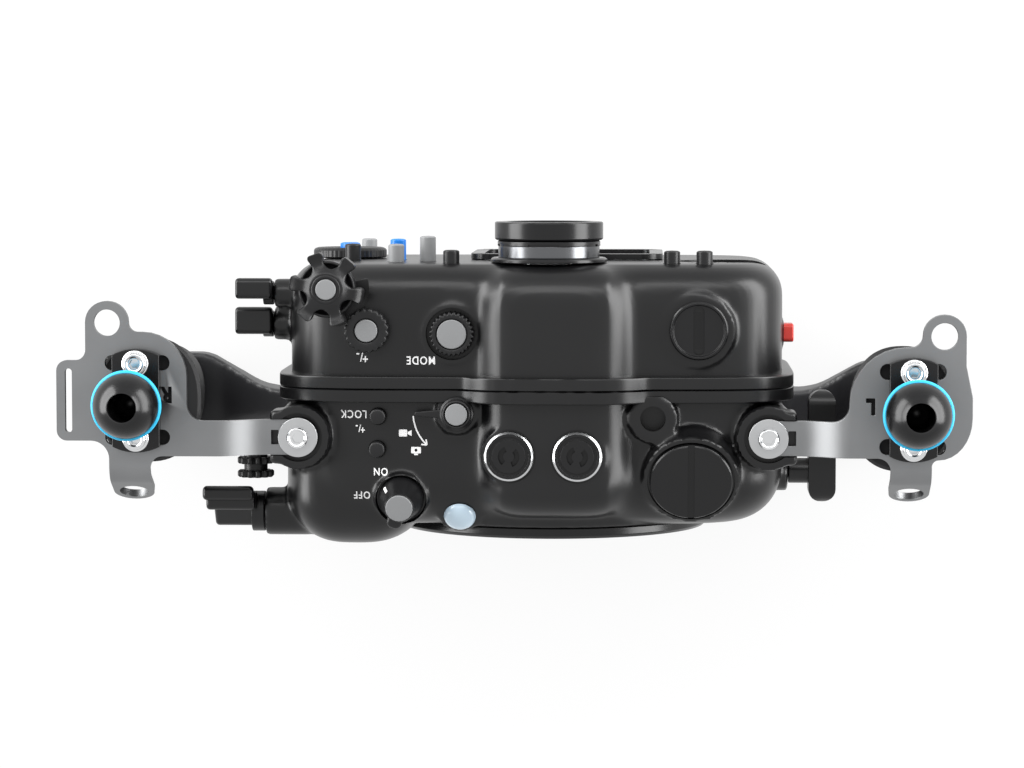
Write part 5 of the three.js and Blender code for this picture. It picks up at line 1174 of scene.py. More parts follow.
@dataclass(frozen=True)
class StarDial:
    """The dial with six flared spokes that dip between hub and tip, over a rimmed dish."""

    spokes: int = 6
    first: float = 0.823
    waist: float = 2.1
    valley: float = 7.4
    tip: float = 14.2
    height: float = 16.1
    low: float = 8.2
    dip: float = 1.9
    dip_start: float = 6.2
    voxel: float = 0.36

    def star(self) -> BMesh:
        """Return the star as one soft moulding with dipped spokes."""
        corners: list[Point] = []
        step = math.pi / self.spokes
        spoke = [(9.6, -self.waist, 1.8), (12.7, -3.1, 0.9), (self.tip, -2.7, 1.2)]
        for i in range(self.spokes):
            turn = 2 * step * (i + self.first)
            valley = (self.valley * math.cos(step), -self.valley * math.sin(step), 2.6)
            local = [valley, *spoke, *[(x, -y, r) for x, y, r in reversed(spoke)]]
            for x, y, radius in local:
                across = x * math.cos(turn) - y * math.sin(turn)
                along = x * math.sin(turn) + y * math.cos(turn)
                corners.append((across, along, radius))
        shape = cast(prism(corners, self.low, self.height - 0.3, 5), self.voxel, 5)
        for vert in shape.verts:
            run = (vert.co.xy.length - self.dip_start) / (self.tip - self.dip_start)
            share = min(max(run, 0.0), 1.0)
            vert.co.z -= self.dip * math.sin(math.pi * share) * (vert.co.z > self.low + 1.3)
        return smoothed(shape, shape.verts)

    def build(self) -> None:
        """Build the dial and its cap."""
        dish = turned([
            (0, 0.3), (8.5, 0.3), (10.7, 5.0), (10.9, 11.4), (10.5, 12.1), (9.9, 12.0), (9.0, 10.9),
            (7.4, 10.3), (0, 10.3),
        ], 0.35)
        top, floor = self.height, self.height - CAP_SINK
        hub = turned([(0, 6.2), (5.9, 6.2), (5.6, top), (4.2, top), (4.2, floor), (0, floor)], 0.5)
        shape = placed(joined(dish, self.star(), hub), Control.STAR)
        finished("star_dial_moulding", shape, Finishes.nylon, "star", ["star_dial"])
        spindle(Control.STAR, "star_dial", "star", self.height, 3.9, -11)


@dataclass(frozen=True)
class ScallopedDial:
    """A low dial with rounded notches round its rim."""

    name: str
    body: str
    seat: Seat
    radius: float
    height: float
    cap_radius: float
    gear_top: float
    teeth: int
    depth: float
    sharpness: float

    def build(self) -> None:
        """Build the dial and its cap."""
        top, radius, depth, cap = self.height, self.radius, self.depth, self.cap_radius
        stations = [
            (0.3, radius - 0.6, depth), (0.8, radius, depth), (top - 1.1, radius, depth),
            (top - 0.4, radius - 0.2, depth), (top - 0.1, radius - 0.6, depth * 0.9),
            (top, radius - 1.2, depth * 0.7), (top, cap + 1.0, 0), (top - 0.2, cap + 0.5, 0),
            (top - CAP_SINK, cap + 0.3, 0),
        ]
        shape = placed(loft(stations, notched(self.teeth, self.sharpness), self.teeth * 12), self.seat)
        finished(f"{self.name}_moulding", shape, Finishes.nylon, self.body, [self.name])
        spindle(self.seat, self.name, self.body, self.height, self.cap_radius, self.gear_top)


@dataclass(frozen=True)
class PowerSwitch:
    """The tapered switch that leans forward in its pocket, with a thumb wing and an index mark."""

    knob_height: float = 11.0
    knob_radius: float = 5.8
    skirt_radius: float = 8.8
    wing_length: float = 9.4
    wing_width: float = 6.0
    wing_turn: float = 162.0
    mark_turn: float = 50.0
    mark_half: Point = (0.55, 1.75, 0.12)
    mark_reach: float = 7.42
    mark_rise: float = 2.94

    def build(self) -> None:
        """Build the switch, its cap and its mark."""
        top, knob, skirt = self.knob_height, self.knob_radius, self.skirt_radius
        floor = top - CAP_SINK
        cone = turned([
            (0, -2.3), (skirt, -2.3), (skirt, -0.6), (skirt - 0.7, 1.2), (knob + 0.9, 4.6),
            (knob + 0.1, 8.2), (knob, top - 0.6), (knob - 0.3, top), (knob - 0.5, top), (knob - 0.5, floor),
            (0, floor),
        ], 0.4)
        length = self.wing_length + 3
        corners = rounded_corners(self.wing_width, length, 2.4, 0, length / 2 - 3)
        wing = softened(prism(corners, 3.0, top - 2.2), 1.2, segments=4)
        swung(wing, Matrix.Rotation(math.radians(self.wing_turn), 3, "Z"))
        place = Control.POWER
        shape = placed(joined(cone, wing), place)
        finished("power_switch_moulding", shape, Finishes.nylon, "power", ["power_switch"])
        spindle(place, "power_switch", "power", top, 5.2, -11.4)
        mark = block(tuple(-half for half in self.mark_half), self.mark_half)
        slope = Matrix.Rotation(math.atan2(-3.4, 1.4), 4, "X")
        turn = Matrix.Rotation(math.radians(self.mark_turn), 4, "Z")
        move = turn @ Matrix.Translation((0, self.mark_reach, self.mark_rise)) @ slope
        finished("power_switch_mark", placed(moved(mark, move), place), Finishes.ink, "power")


@dataclass(frozen=True)
class DriveLever:
    """The low hub with a long pointer that picks the drive mode."""

    reach: float = 16.2
    radius: float = 6.6
    height: float = 5.6
    root_half: float = 2.2
    tip_half: float = 0.8

    def build(self) -> None:
        """Build the lever and its cap."""
        top, floor = self.height, self.height - CAP_SINK
        hub = turned([
            (0, 0.3), (self.radius, 0.3), (self.radius, 2.6), (5.6, 3.4), (5.6, top - 0.6), (5.1, top),
            (4.6, top), (4.6, floor), (0, floor),
        ], 0.4)
        root, tip, blunt = self.root_half, self.tip_half, self.tip_half - 0.1
        pointer = [(0, -root, 0), (-self.reach, -tip, blunt), (-self.reach, tip, blunt), (0, root, 0)]
        arm = softened(prism(pointer, 0.3, 2.5), 0.5)
        shape = placed(joined(hub, arm), Control.DRIVE)
        finished("drive_lever_moulding", shape, Finishes.nylon, "drive", ["drive_lever"])
        spindle(Control.DRIVE, "drive_lever", "drive", top, 4.2, -12.2)


@dataclass(frozen=True)
class PushButton:
    """A round push button on its stem, with a clip at the inner end."""

    name: str
    body: str
    seat: Seat
    radius: float
    proud: float
    clip_radius: float
    finish: Finish
    crown: float = 0.5

    def build(self) -> None:
        """Build the button."""
        top, radius, clip = self.proud, self.radius, self.clip_radius
        shape = turned([
            (0, -12), (radius, -12), (clip, -8.5), (clip, -7), (radius, -7), (radius, top - self.crown),
            (radius * 0.72, top - self.crown * 0.25), (0, top),
        ], 0.35, 40)
        finished(f"{self.name}_moulding", placed(shape, self.seat), self.finish, self.body, [self.name])


@dataclass(frozen=True)
class LeakLamp:
    """The frosted dome of the leak lamp."""

    radius: float = 6.2
    rise: float = 3.6
    stem: float = 3.4

    def build(self) -> None:
        """Build the dome on its stem."""
        steps, low = 9, GAP
        profile = [(0, -6), (self.stem, -6), (self.stem, low), (self.radius, low)]
        for step in range(1, steps):
            angle = QUARTER * step / steps
            profile.append((self.radius * math.cos(angle), low + self.rise * math.sin(angle)))
        profile.append((0, low + self.rise))
        shape = placed(turned(profile, 0), Control.LAMP)
        finished("leak_lamp_dome", shape, Finishes.dome, "housing_front", ["leak_lamp"])


@dataclass(frozen=True)
class BulkheadPlug:
    """A blanking plug with a ring groove, two key slots and a painted highlight on its chamfer."""

    name: str
    seat: Seat
    radius: float = 9.4
    height: float = 3.0

    def build(self) -> None:
        """Build the plug and the bright ring of painted highlight on its chamfer."""
        top, radius, chamfer = self.height, self.radius, 0.7
        disc = turned([
            (0, -6), (6, -6), (6, 0.3), (radius, 0.3), (radius, top - chamfer), (radius - chamfer, top),
            (7.6, top), (7.6, top - 0.7), (6.5, top - 0.7), (6.5, top), (0, top),
        ], 0.15, 72)
        slots = [ring_slot(3.1, 2.0, top - 2.5, top + 1, start, 118) for start in (-70, 112)]
        shape = carved(disc, slots)
        finished(f"{self.name}_disc", placed(shape, self.seat), Finishes.turned, "housing_front", [self.name])
        # A thin ring of bright metal on the chamfer: painted highlight.
        edge = turned([
            (radius - 0.75, top - 0.02), (radius - 0.72, top + 0.03), (radius + 0.03, top - 0.72),
            (radius, top - 0.78), (radius - 0.75, top - 0.02),
        ], 0, 72)
        finished(f"{self.name}_painted_highlight_edge", placed(edge, self.seat), Finishes.cut, "housing_front")


@dataclass(frozen=True)
class SlottedCap:
    """A round cap with a coin slot, on the vacuum port and the large port."""

    name: str
    body: str
    seat: Seat
    radius: float
    height: float
    rim: float
    sink: float
    slot_width: float
    slot_depth: float
    stem_radius: float

    def build(self) -> None:
        """Build the cap."""
        top, radius, rim, stem = self.height, self.radius, self.radius - self.rim, self.stem_radius
        face = top - self.sink
        disc = turned([
            (0, -6), (stem, -6), (stem, 0.3), (radius, 0.3), (radius, top - 0.6), (radius - 0.6, top),
            (rim, top), (rim - 0.4, face), (0, face),
        ], 0.15, 80)
        reach = rim - 0.6 if self.sink > 0 else radius + 2
        outline = rounded_corners(self.slot_width, 2 * reach, self.slot_width / 2 * 0.98)
        slot = prism(outline, face - self.slot_depth, top + 2)
        shape = placed(carved(disc, [slot]), self.seat)
        finished(f"{self.name}_disc", shape, Finishes.turned, self.body, [self.name])


@dataclass(frozen=True)
class SideLever:
    """A thumb lever outboard of the right wall: shaft, hub, arm and pad."""

    name: str
    body: str
    seat: Seat
    hub_radius: float
    pad_tip: float
    pad_back: float
    pad_rise: float
    pad_width: float
    pad_thickness: float

    def build(self) -> None:
        """Build the lever."""
        seat, hub, thick = self.seat, self.hub_radius, 4.3
        near, far = seat.x - GAP, seat.x - thick
        shaft = lever_shaft(seat, RIGHT_CAM_X - seat.x, [(hub, thick), (0, thick)], 0.4, 40)
        pad_y, pad_z = seat.y + self.pad_back, seat.z + self.pad_rise
        third, quarter = self.pad_width / 3, self.pad_thickness / 4
        arm = softened(prism_along_x([
            (seat.y - hub + 0.3, seat.z, 0), (pad_y - third, pad_z + quarter, quarter),
            (pad_y + third, pad_z + quarter, quarter), (seat.y + hub - 0.3, seat.z, 0),
        ], far, near), 0.5)
        corners = rounded_corners(self.pad_width, self.pad_thickness, self.pad_thickness / 3, pad_y, pad_z)
        pad = softened(prism_along_x(corners, self.pad_tip, near), 1.3, segments=4)
        shape = joined(shaft, arm, pad)
        finished(f"{self.name}_lever", shape, Finishes.casting, self.body, [self.name])


@dataclass(frozen=True)
class ShutterLever:
    """The finger lever on the front of the right wall."""

    hub_radius: float = 7.9
    tip: float = -135.6

    def build(self) -> None:
        """Build the lever."""
        seat = Control.SHUTTER
        face = [(self.hub_radius, 5.3), (3.2, 5.3), (3.2, 4.6), (0, 4.6)]
        shaft = lever_shaft(seat, RIGHT_CAM_X - seat.x, face, 0.5, 56)
        y, z = seat.y, seat.z
        blade = softened(prism_along_x([
            (y - 5.6, z - 3, 2.8), (y + 4, z - 3, 2.8), (y + 9.4, z + 7.4, 2.7), (y + 4.4, z + 10.4, 2.7),
            (y - 5.6, z + 3, 2.8),
        ], -131.8, -114.7), 1.5, segments=4)
        step = prism_along_x(rounded_corners(7.6, 7.0, 2.4, y + 5.2, z + 9.4), self.tip + 1.2, -115.2)
        rest = prism_along_x(rounded_corners(5.6, 5.0, 2.2, y + 8.2, z + 12.6), self.tip, -115.6)
        shape = joined(shaft, blade, softened(step, 1.4, segments=4), softened(rest, 1.7, segments=4))
        finished("shutter_lever_blade", shape, Finishes.casting, "shutter", ["shutter_lever"])


@dataclass(frozen=True)
class FrontDial:
    """The small spool wheel in front of its boss."""

    radius: float = 7.2
    waist: float = 4.6
    teeth: int = 12
    notch: float = 1.2

    def build(self) -> None:
        """Build the wheel along its shaft."""
        full, deep, waist = self.radius, self.notch, self.waist
        stations = [
            (-13.6, 3.6, 0), (-12.1, 3.6, 0), (-12.1, 2.2, 0), (-5.1, 2.2, 0), (-5.1, waist, 0),
            (0.0, waist, 0), (0.0, full - 0.5, deep), (0.5, full, deep), (2.2, full, deep),
            (2.7, full - 0.5, deep), (2.8, waist, 0), (5.2, waist, 0), (5.3, full - 0.5, deep),
            (5.8, full, deep), (7.4, full, deep), (8.0, full - 0.6, deep), (8.0, 3.0, 0), (7.3, 2.6, 0),
        ]
        shape = placed(loft(stations, notched(self.teeth), self.teeth * 10), Control.FRONT_DIAL)
        finished("front_dial_spool", shape, Finishes.nylon, "front_wheel", ["front_dial"])


@dataclass(frozen=True)
class PortRelease:
    """The long rounded lever on the left wall that frees the lens port."""

    low: float = 102.6
    high: float = 113.4
    foot: float = 75.3
    crown: float = 87.3
    ahead: float = 12.4
    behind: float = 32.4
    side_round: float = 5.9
    top_round: float = 5.3
    ribs: tuple[float, ...] = (5.5, 8.5, 11.5, 14.5)

    def build(self) -> None:
        """Build the lever with its thumb grooves."""
        seat, low, high = Control.PORT_LEVER, self.low, self.high
        shaft = lever_shaft(seat, 14, [(5, 8.5), (0, 8.5)], 0.4, 40)
        front, rear, foot, crown = seat.y - self.ahead, seat.y + self.behind, self.foot, self.crown
        side = [(front, foot), (rear, foot), (rear, crown), (front, crown)]
        top = [(low, front), (high, front), (high, rear), (low, rear)]
        bar = carved(
            prism_along_x([(*corner, self.side_round) for corner in side], low, high),
            [prism([(*corner, self.top_round) for corner in top], 70, 92)],
            "INTERSECT",
        )
        groove = [(high - 0.7, 77, 0), (high + 3, 77, 0), (high + 3, 84, 0), (high - 0.7, 84, 0)]
        bar = softened(carved(bar, [prism_along_y(groove, y, y + 1.2) for y in self.ribs]), 0.5, 30)
        shape = joined(shaft, bar)
        finished("port_release_bar", shape, Finishes.casting, "port_release", ["port_release_lever"])


@dataclass(frozen=True)
class ControlWheel:
    """The thumb wheel on the rear face with its blue centre button."""

    radius: float = 14.75
    teeth: int = 48
    notch: float = 0.14

    def build(self) -> None:
        """Build the wheel and its button."""
        full, deep = self.radius, self.notch
        stations = [
            (-10.3, 4.4, 0), (-8.5, 4.4, 0), (-8.5, 2.5, 0), (0.3, 2.5, 0), (0.3, full - 0.5, deep),
            (0.8, full, deep), (3.3, full, deep), (4.0, full - 0.6, 0.1), (4.4, full - 1.6, 0),
            (3.7, full - 4.5, 0), (3.7, 7.2, 0), (4.3, 6.4, 0), (4.1, 5.4, 0), (3.0, 5.3, 0),
        ]
        shape = placed(loft(stations, notched(self.teeth), self.teeth * 6), Control.WHEEL)
        finished("control_wheel_moulding", shape, Finishes.nylon, "rear_wheel", ["control_wheel"])
        button = turned([(0, 2.8), (4.0, 2.8), (4.0, 6.0), (3.0, 6.4), (0, 6.4)], 0.3)
        finished("control_wheel_button", placed(button, Control.WHEEL), Finishes.blue, "rear_wheel")


@dataclass(frozen=True)
class Latch:
    """The turning latch in its pocket and the red button that frees it."""

    radius: float = 15.6

    def build(self) -> None:
        """Build the knob and the button."""
        radius = self.radius
        disc = turned([
            (0, -10.3), (4.9, -10.3), (4.9, -6.3), (4, -6.3), (4, 0.3), (radius, 0.3), (radius, 3.0),
            (radius - 0.7, 3.7), (0, 3.7),
        ], 0.3, 72)
        bar = softened(prism(rounded_corners(5.5, 28, 1.8), 0.3, 7.1), 0.9)
        cam = softened(prism(rounded_corners(7, 20, 2.3), -10.3, -6.3), 0.4)
        shape = placed(joined(disc, bar, cam), Control.LATCH)
        finished("latch_knob_bar", shape, Finishes.casting, "latch_turn", ["latch_knob"])
        head = softened(prism_along_x(rounded_corners(7.2, 11, 1.6, *LATCH_BUTTON), 80.4, 96.0), 0.7)
        clip = softened(prism_along_x(rounded_corners(9.6, 13.4, 2.8, *LATCH_BUTTON), 83.0, 84.4), 0.2)
        finished("latch_button_head", joined(head, clip), Finishes.red, "latch_press", ["latch_button"])


@dataclass(frozen=True)
class PortRing:
    """The ring of the lens port with its three bayonet lugs."""

    lugs: int = 3
    lug_tip: float = 44.0
    lug_low: float = 0.7
    lug_height: float = 2.4
    lug_sweep: float = 40.0
    throat: float = 46.5
    radius: float = 62.3

    def build(self) -> None:
        """Build the ring."""
        throat, radius, face, chamfer = self.throat, self.radius, 4.3, 1.2
        ring = turned([
            (throat, -7), (throat, face - chamfer), (throat + chamfer, face), (radius - chamfer, face),
            (radius, face - chamfer), (radius, 0.3), (50, 0.3), (50, -7), (throat, -7),
        ], 0.25, 128)
        teeth = []
        for i in range(self.lugs):
            lug = bmesh.new()
            ends = (self.lug_tip, 0, self.lug_low), (throat + chamfer, 0, self.lug_low)
            lug.edges.new([lug.verts.new(end) for end in ends])
            raised(spun(lug, math.radians(self.lug_sweep), 12), self.lug_height)
            start = 2 * math.pi * i / self.lugs - math.radians(self.lug_sweep / 2)
            teeth.append(softened(swung(lug, Matrix.Rotation(start, 3, "Z")), 0.3))
        shape = placed(joined(ring, *teeth), Control.PORT)
        finished("port_ring_bayonet", shape, Finishes.turned, "housing_front", ["port_ring"])


@dataclass(frozen=True)
class RearGlass:
    """Window frame with its screws, finder mount, ring and eye lens."""

    border: float = 5.3
    face_y: float = REAR_Y + 2.5
    corner_inset: float = 4.3
    middle_inset: float = 2.7

    def screw_seats(self) -> list[Seat]:
        """Return the seats of the frame's screws: four in its corners, two on its middle line."""
        (x, z), (width, height) = WINDOW, WINDOW_SIZE
        out, up = width / 2 + self.border, height / 2 + self.border
        inset = self.corner_inset
        spots = [(x + sx * (out - inset), z + sz * (up - inset)) for sx in (-1, 1) for sz in (-1, 1)]
        spots += [(x, z + sz * (up - self.middle_inset)) for sz in (-1, 1)]
        return [Seat(x, self.face_y, z, Facing.REAR) for x, z in spots]

    def frame(self) -> None:
        """Build the window frame and its screws."""
        width, height = WINDOW_SIZE
        outline = rounded_corners(width + 2 * self.border, height + 2 * self.border, 9.3, *WINDOW)
        plate = prism_along_y(outline, REAR_Y + GAP, self.face_y)
        hole = prism_along_y(rounded_corners(width, height, 4, *WINDOW), REAR_Y - 4, REAR_Y + 6)
        seats = self.screw_seats()
        shape = softened(carved(plate, [hole, *[drilled(seat, 2.0, 1.0) for seat in seats]]), 0.3)
        finished("window_frame_plate", shape, Finishes.turned, "rear_door", ["window_frame"])
        head = [(0, -1.2), (1.8, -1.2), (1.8, -0.3), (0, -0.1)]
        screws = [placed(turned(head, 0.15, 24), seat) for seat in seats]
        finished("window_frame_screws", joined(*screws), Finishes.steel, "rear_door")

    def part(self, name: str, profile: Sequence[Pair], finish: Finish, *nodes: str) -> None:
        """Turn one ring of the finder from a profile that closes on itself."""
        shape = turned([*profile, profile[0]], 0.2, 80)
        finished(name, placed(shape, Control.FINDER), finish, "rear_door", nodes)

    def finder(self) -> None:
        """Build the finder's mount, ring and lens."""
        seat = Control.FINDER
        flange = [(13, 0.3), (22.6, 0.3), (22.6, 1.5), (21.8, 2.1), (13, 2.1)]
        self.part("finder_flange", flange, Finishes.turned)
        mount = [(13.2, 2.1), (19.7, 2.1), (19.7, 6.6), (13.2, 6.6)]
        # The mount's dark steel is painted shade in place of its glint.
        self.part("finder_mount_turned", mount, Finishes.neck, "finder_mount")
        collar = turned([
            (13.2, 6.6), (20.0, 6.6), (20.0, 8.4), (19.2, 8.9), (13.2, 8.9), (13.2, 6.6)
        ], 0.2, 80)
        lugs = [ring_slot(20.3, 1.6, 6.0, 7.4, 60 * i + 8, 34) for i in range(6)]
        finished("finder_collar", placed(carved(collar, lugs), seat), Finishes.turned, "rear_door")
        ring = turned([
            (15.9, 8.9), (20.5, 8.9), (21.1, 9.5), (21.1, 15.6), (20.7, 16.0), (16.8, 16.0), (15.9, 15.1),
            (15.9, 8.9),
        ], 0.25, 80)
        finished("finder_ring_turned", placed(ring, seat), Finishes.turned, "rear_door", ["finder_ring"])
        lens = turned([
            (0, -3), (14.2, -3), (14.2, 0), (11.5, 0), (9, 0.65), (6.9, 1.05), (3.5, 1.4), (0, 1.5)
        ], 0, 72)
        finished("finder_lens_glass", placed(lens, seat), Finishes.lens, "rear_door", ["finder_lens"])

    def build(self) -> None:
        """Build everything on the rear face that is glazed."""
        self.frame()
        self.finder()


@dataclass(frozen=True)
class Side:
    """What differs between the two hands: where the ball stands and the outline of the plate."""

    name: str
    sign: int
    ball_x: float
    ball_y: float
    inner_edge: float
    top_edge: float
    top_corner: float
    lobe_out: float
    lobe_back: float
    lobe_fillet: float
    tab_centre: float
    mark_x: float
    mark_y: float
    outside: tuple[Point, ...]

    @property
    def clevis_x(self) -> float:
        """Return the x of the screw that holds the strap."""
        return CLEVIS_X[self.name]

    @property
    def wall_x(self) -> float:
        """Return the x of the shell's wall."""
        return WALL_X[self.name]

    def grip_axis(self, z: float) -> tuple[float, float]:
        """Return the x and y of the middle of the grip, which leans out and forward on its way down."""
        share = (GRIP_HIGH - z) / (GRIP_HIGH - GRIP_LOW)
        return self.ball_x + self.sign * (GRIP_SPREAD * share - 4), self.ball_y - GRIP_FORWARD * share


TAB_INNER, TAB_OUTER = -7.8, 7.8
SIDES = (
    Side(
        "right", -1, -156.9, 20.2, 18.9, 26.1, 17, 11.65, 29.6, 3.5, 3.25, -145.5, 22.5,
        ((3.25 + TAB_OUTER, -15.7, 7), (31.2, -15.7, 4), (31.2, 15.2, 4), (19.95, 15.2, 4)),
    ),
    Side(
        "left", 1, 139.3, 17.4, 24, 23.6, 21.5, 11.9, 27.8, 4.5, -0.4, 123.5, 18.7,
        ((-0.4 + TAB_OUTER, -19.4, 2.5), (22.7, -19.4, 16), (22.7, 4.5, 6), (20.2, 16.5, 6)),
    ),
)


@dataclass(frozen=True)
class Bracket:
    """A bent sheet bracket: plate, joggled strap, and a tab bent down at the front."""

    side: Side
    top: float = PLATE_TOP
    sheet: float = 3.0
    strap_half: float = 6.8
    strap_screw: float = 3.2
    lobe: float = 8.3
    lobe_hole: float = 5.1
    tab_hole: float = 5.6
    bend_y: float = -5.0
    bend_radius: float = 8.0
    bend_angle: float = math.radians(63)
    tab_length: float = 9.0
    drop: float = 8.4
    joggle_near: float = 12.0
    joggle_far: float = 31.0
    bend_steps: int = 8
    joggle_steps: int = 16

    @property
    def flat_eye(self) -> float:
        """Return the y of the tab's hole before the tab is bent."""
        return self.bend_y - self.bend_radius * self.bend_angle - self.tab_length

    def corners(self) -> list[Point]:
        """Return the outline of the flat sheet."""
        s, lobe = self.side, self.lobe
        back, front = CLEVIS_Y + self.strap_half - s.ball_y, CLEVIS_Y - self.strap_half - s.ball_y
        end = -(s.sign * s.ball_x - s.sign * s.clevis_x) - 6.6
        tab = self.flat_eye + TAB_INNER - s.ball_y
        inner, outer = s.tab_centre + TAB_INNER, s.tab_centre + TAB_OUTER
        lobe_top = s.lobe_back + lobe
        points = [
            (end, back, 6.5), (end, front, 6.5), (inner, front, 5), (inner, tab, 7.7), (outer, tab, 7.7),
            *s.outside,
            (s.lobe_out + lobe, lobe_top, 8.1), (s.lobe_out - lobe, lobe_top, 8.1),
            (s.lobe_out - lobe, s.top_edge, s.lobe_fillet), (-s.inner_edge, s.top_edge, s.top_corner),
            (-s.inner_edge, back, 6.5),
        ]
        return [(s.ball_x + s.sign * out, s.ball_y + along, radius) for out, along, radius in points]

    def holes(self) -> list[BMesh]:
        """Return the cutters of every hole in the flat sheet."""
        s = self.side
        low, high = self.top - self.sheet - 2, self.top + 2

        def hole(x: float, y: float, radius: float) -> BMesh:
            """Return the cutter of a round hole."""
            return drilled(Seat(x, y, high), radius, high - low, 0)

        cutters = [
            hole(s.ball_x + s.sign * s.lobe_out, s.ball_y + s.lobe_back, self.lobe_hole),
            hole(s.clevis_x, CLEVIS_Y, self.strap_screw),
            hole(s.ball_x + s.sign * s.tab_centre, self.flat_eye, self.tab_hole),
            prism(rounded_corners(2.9, 5.6, 0.3, s.clevis_x + s.sign * 9, CLEVIS_Y), low, high),
        ]
        for along in (-BALL_SCREW_REACH, BALL_SCREW_REACH):
            cutters.append(prism(rounded_corners(25, 6, 2.9, s.ball_x, s.ball_y + along), low, high))
        cutters.append(self.hand_mark(low, high))
        if s.name == "right":
            slot = rounded_corners(2.7, 24.6, 1.3, s.ball_x + s.sign * 26.55, s.ball_y - 0.25)
            cutters.append(prism(slot, low, high))
        return cutters

    def hand_mark(self, low: float, high: float) -> BMesh:
        """Return the cutter of the letter that tells the hand, read from the rear."""
        s = self.side
        move = Matrix.Translation((s.mark_x, s.mark_y, low)) @ Matrix.Rotation(math.pi, 4, "Z")
        return raised(moved(letters(s.name[0].upper(), 5.6, 0.085), move), high - low)

    def bend(self, shape: BMesh) -> BMesh:
        """Slice the flat sheet where it bends, then bend the tab down and joggle the strap.

        Args:
            shape: the flat sheet.

        Returns:
            The same shape, bent.
        """
        s = self.side
        arc = self.bend_radius * self.bend_angle
        for i in range(self.bend_steps + 1):
            y = self.bend_y - arc * i / self.bend_steps
            sliced(shape, (0, y, 0), (0, 1, 0), clear=False, slack=0.0005)
        span = self.joggle_far - self.joggle_near
        for i in range(self.joggle_steps + 1):
            x = s.clevis_x + s.sign * (self.joggle_near + span * i / self.joggle_steps)
            sliced(shape, (x, 0, 0), (1, 0, 0), clear=False, slack=0.0005)
        centre = self.top - self.bend_radius
        for vert in shape.verts:
            x, y, z = vert.co
            if y < self.bend_y:
                run = self.bend_y - y
                radius = self.bend_radius - (self.top - z)
                angle = min(run / self.bend_radius, self.bend_angle)
                past = max(run - arc, 0.0)
                vert.co.y = self.bend_y - radius * math.sin(angle) - past * math.cos(angle)
                vert.co.z = centre + radius * math.cos(angle) - past * math.sin(angle)
            out = s.sign * (x - s.clevis_x)
            share = min(max((out - self.joggle_near) / span, 0.0), 1.0)
            vert.co.z -= self.drop * (1 - share * share * (3 - 2 * share))
        return shape

    def build(self) -> None:
        """Build the bracket and the screw that holds its strap."""
        s = self.side
        flat = prism(self.corners(), self.top - self.sheet, self.top, 8)
        flat = softened(carved(flat, self.holes()), 0.35, 34, 2)
        shape = self.bend(flat)
        finished(f"{s.name}_bracket_sheet", shape, Finishes.sheet, "housing_front", [f"{s.name}_bracket"], 30)
        seat = Seat(s.clevis_x, CLEVIS_Y, 138.6)
        washer = turned([(3, 0.3), (7.6, 0.3), (7.6, 1.7), (3, 1.7), (3, 0.3)], 0.2)
        finished(f"{s.name}_bracket_washer", placed(washer, seat), Finishes.washer, "housing_front")
        screw = turned([
            (0, -16), (2.9, -16), (2.9, 1.7), (4.1, 1.7), (4.1, 4.6), (3.6, 5.2), (3.1, 5.2), (2.7, 4.8),
            (0, 4.8),
        ], 0.16, 48)
        shape = placed(carved(screw, [hex_socket(2.05, 3.0, 6.0)]), seat)
        node = f"{s.name}_bracket_screw"
        finished(f"{node}_head", shape, Finishes.steel, "housing_front", [node])


@dataclass(frozen=True)
class BallMount:
    """A ball on its flat-sided base, with a rubber ring and two screws."""

    side: Side
    radius: float = 12.5
    rise: float = 29.0
    neck: float = 6.5
    mouth: float = 6.1
    hole: float = 5.5
    groove_half: float = 1.3
    groove_floor: float = 10.9
    cord_radius: float = 1.15
    cord_seat: float = 12.2
    base: float = 5.0

    def arc(self, start: float, end: float, steps: int = 10) -> list[Pair]:
        """Return the points of the ball's profile between two angles."""
        angles = [start + (end - start) * i / steps for i in range(steps + 1)]
        return [(self.radius * math.cos(a), self.rise + self.radius * math.sin(a)) for a in angles]

    def ball_profile(self) -> list[Pair]:
        """Return the profile of the neck, the grooved ball and its hole."""
        groove, half, floor = math.asin(self.groove_half / self.radius), self.groove_half, self.groove_floor
        return [
            (0, 4.7), (8, 4.7), (7.2, 6.2), (self.neck, 8.6),
            *self.arc(-math.acos(self.neck / self.radius), -groove),
            (floor, self.rise - half), (floor, self.rise + half),
            *self.arc(groove, math.acos(self.mouth / self.radius)),
            (self.hole, 40.6), (self.hole, 22.0), (0, 14.0),
        ]

    def build(self) -> None:
        """Build the mount, its ring and its screws."""
        s = self.side
        seat = Seat(s.ball_x, s.ball_y, PLATE_TOP)
        plate = carved(rod(19.8, GAP, self.base, 0, 96), [block((-9.1, -25, -1), (9.1, 25, 6))], "INTERSECT")
        knob = turned(self.ball_profile(), 0, 64)
        shape = placed(joined(softened(plate, 0.8, 30), knob), seat)
        finished(f"{s.name}_ball_turned", shape, Finishes.turned, "housing_front", [f"{s.name}_ball"])
        thick, turns = self.cord_radius, [math.pi * i / 8 for i in range(17)]
        circle = [(self.cord_seat + thick * math.cos(a), self.rise + thick * math.sin(a)) for a in turns]
        ring = placed(turned(circle, 0, 96), seat)
        finished(f"{s.name}_ball_cord", ring, Finishes.silicone, "housing_front", [f"{s.name}_ball_ring"])
        for place, along in (("front", -BALL_SCREW_REACH), ("rear", BALL_SCREW_REACH)):
            head = turned([
                (0, -14), (2.4, -14), (2.4, 0.3), (5.1, 0.3), (5.1, 0.9), (4.6, 1.2), (4.2, 1.2), (4.2, 3.2),
                (3.7, 3.8), (2.9, 3.8), (2.5, 3.4), (0, 3.4),
            ], 0.16, 48)
            stand = Seat(s.ball_x, s.ball_y + along, PLATE_TOP + self.base)
            screw = placed(carved(head, [hex_socket(2, 1.4, 5)]), stand)
            node = f"{s.name}_{place}_ball_screw"
            finished(f"{node}_head", screw, Finishes.steel, "housing_front", [node])


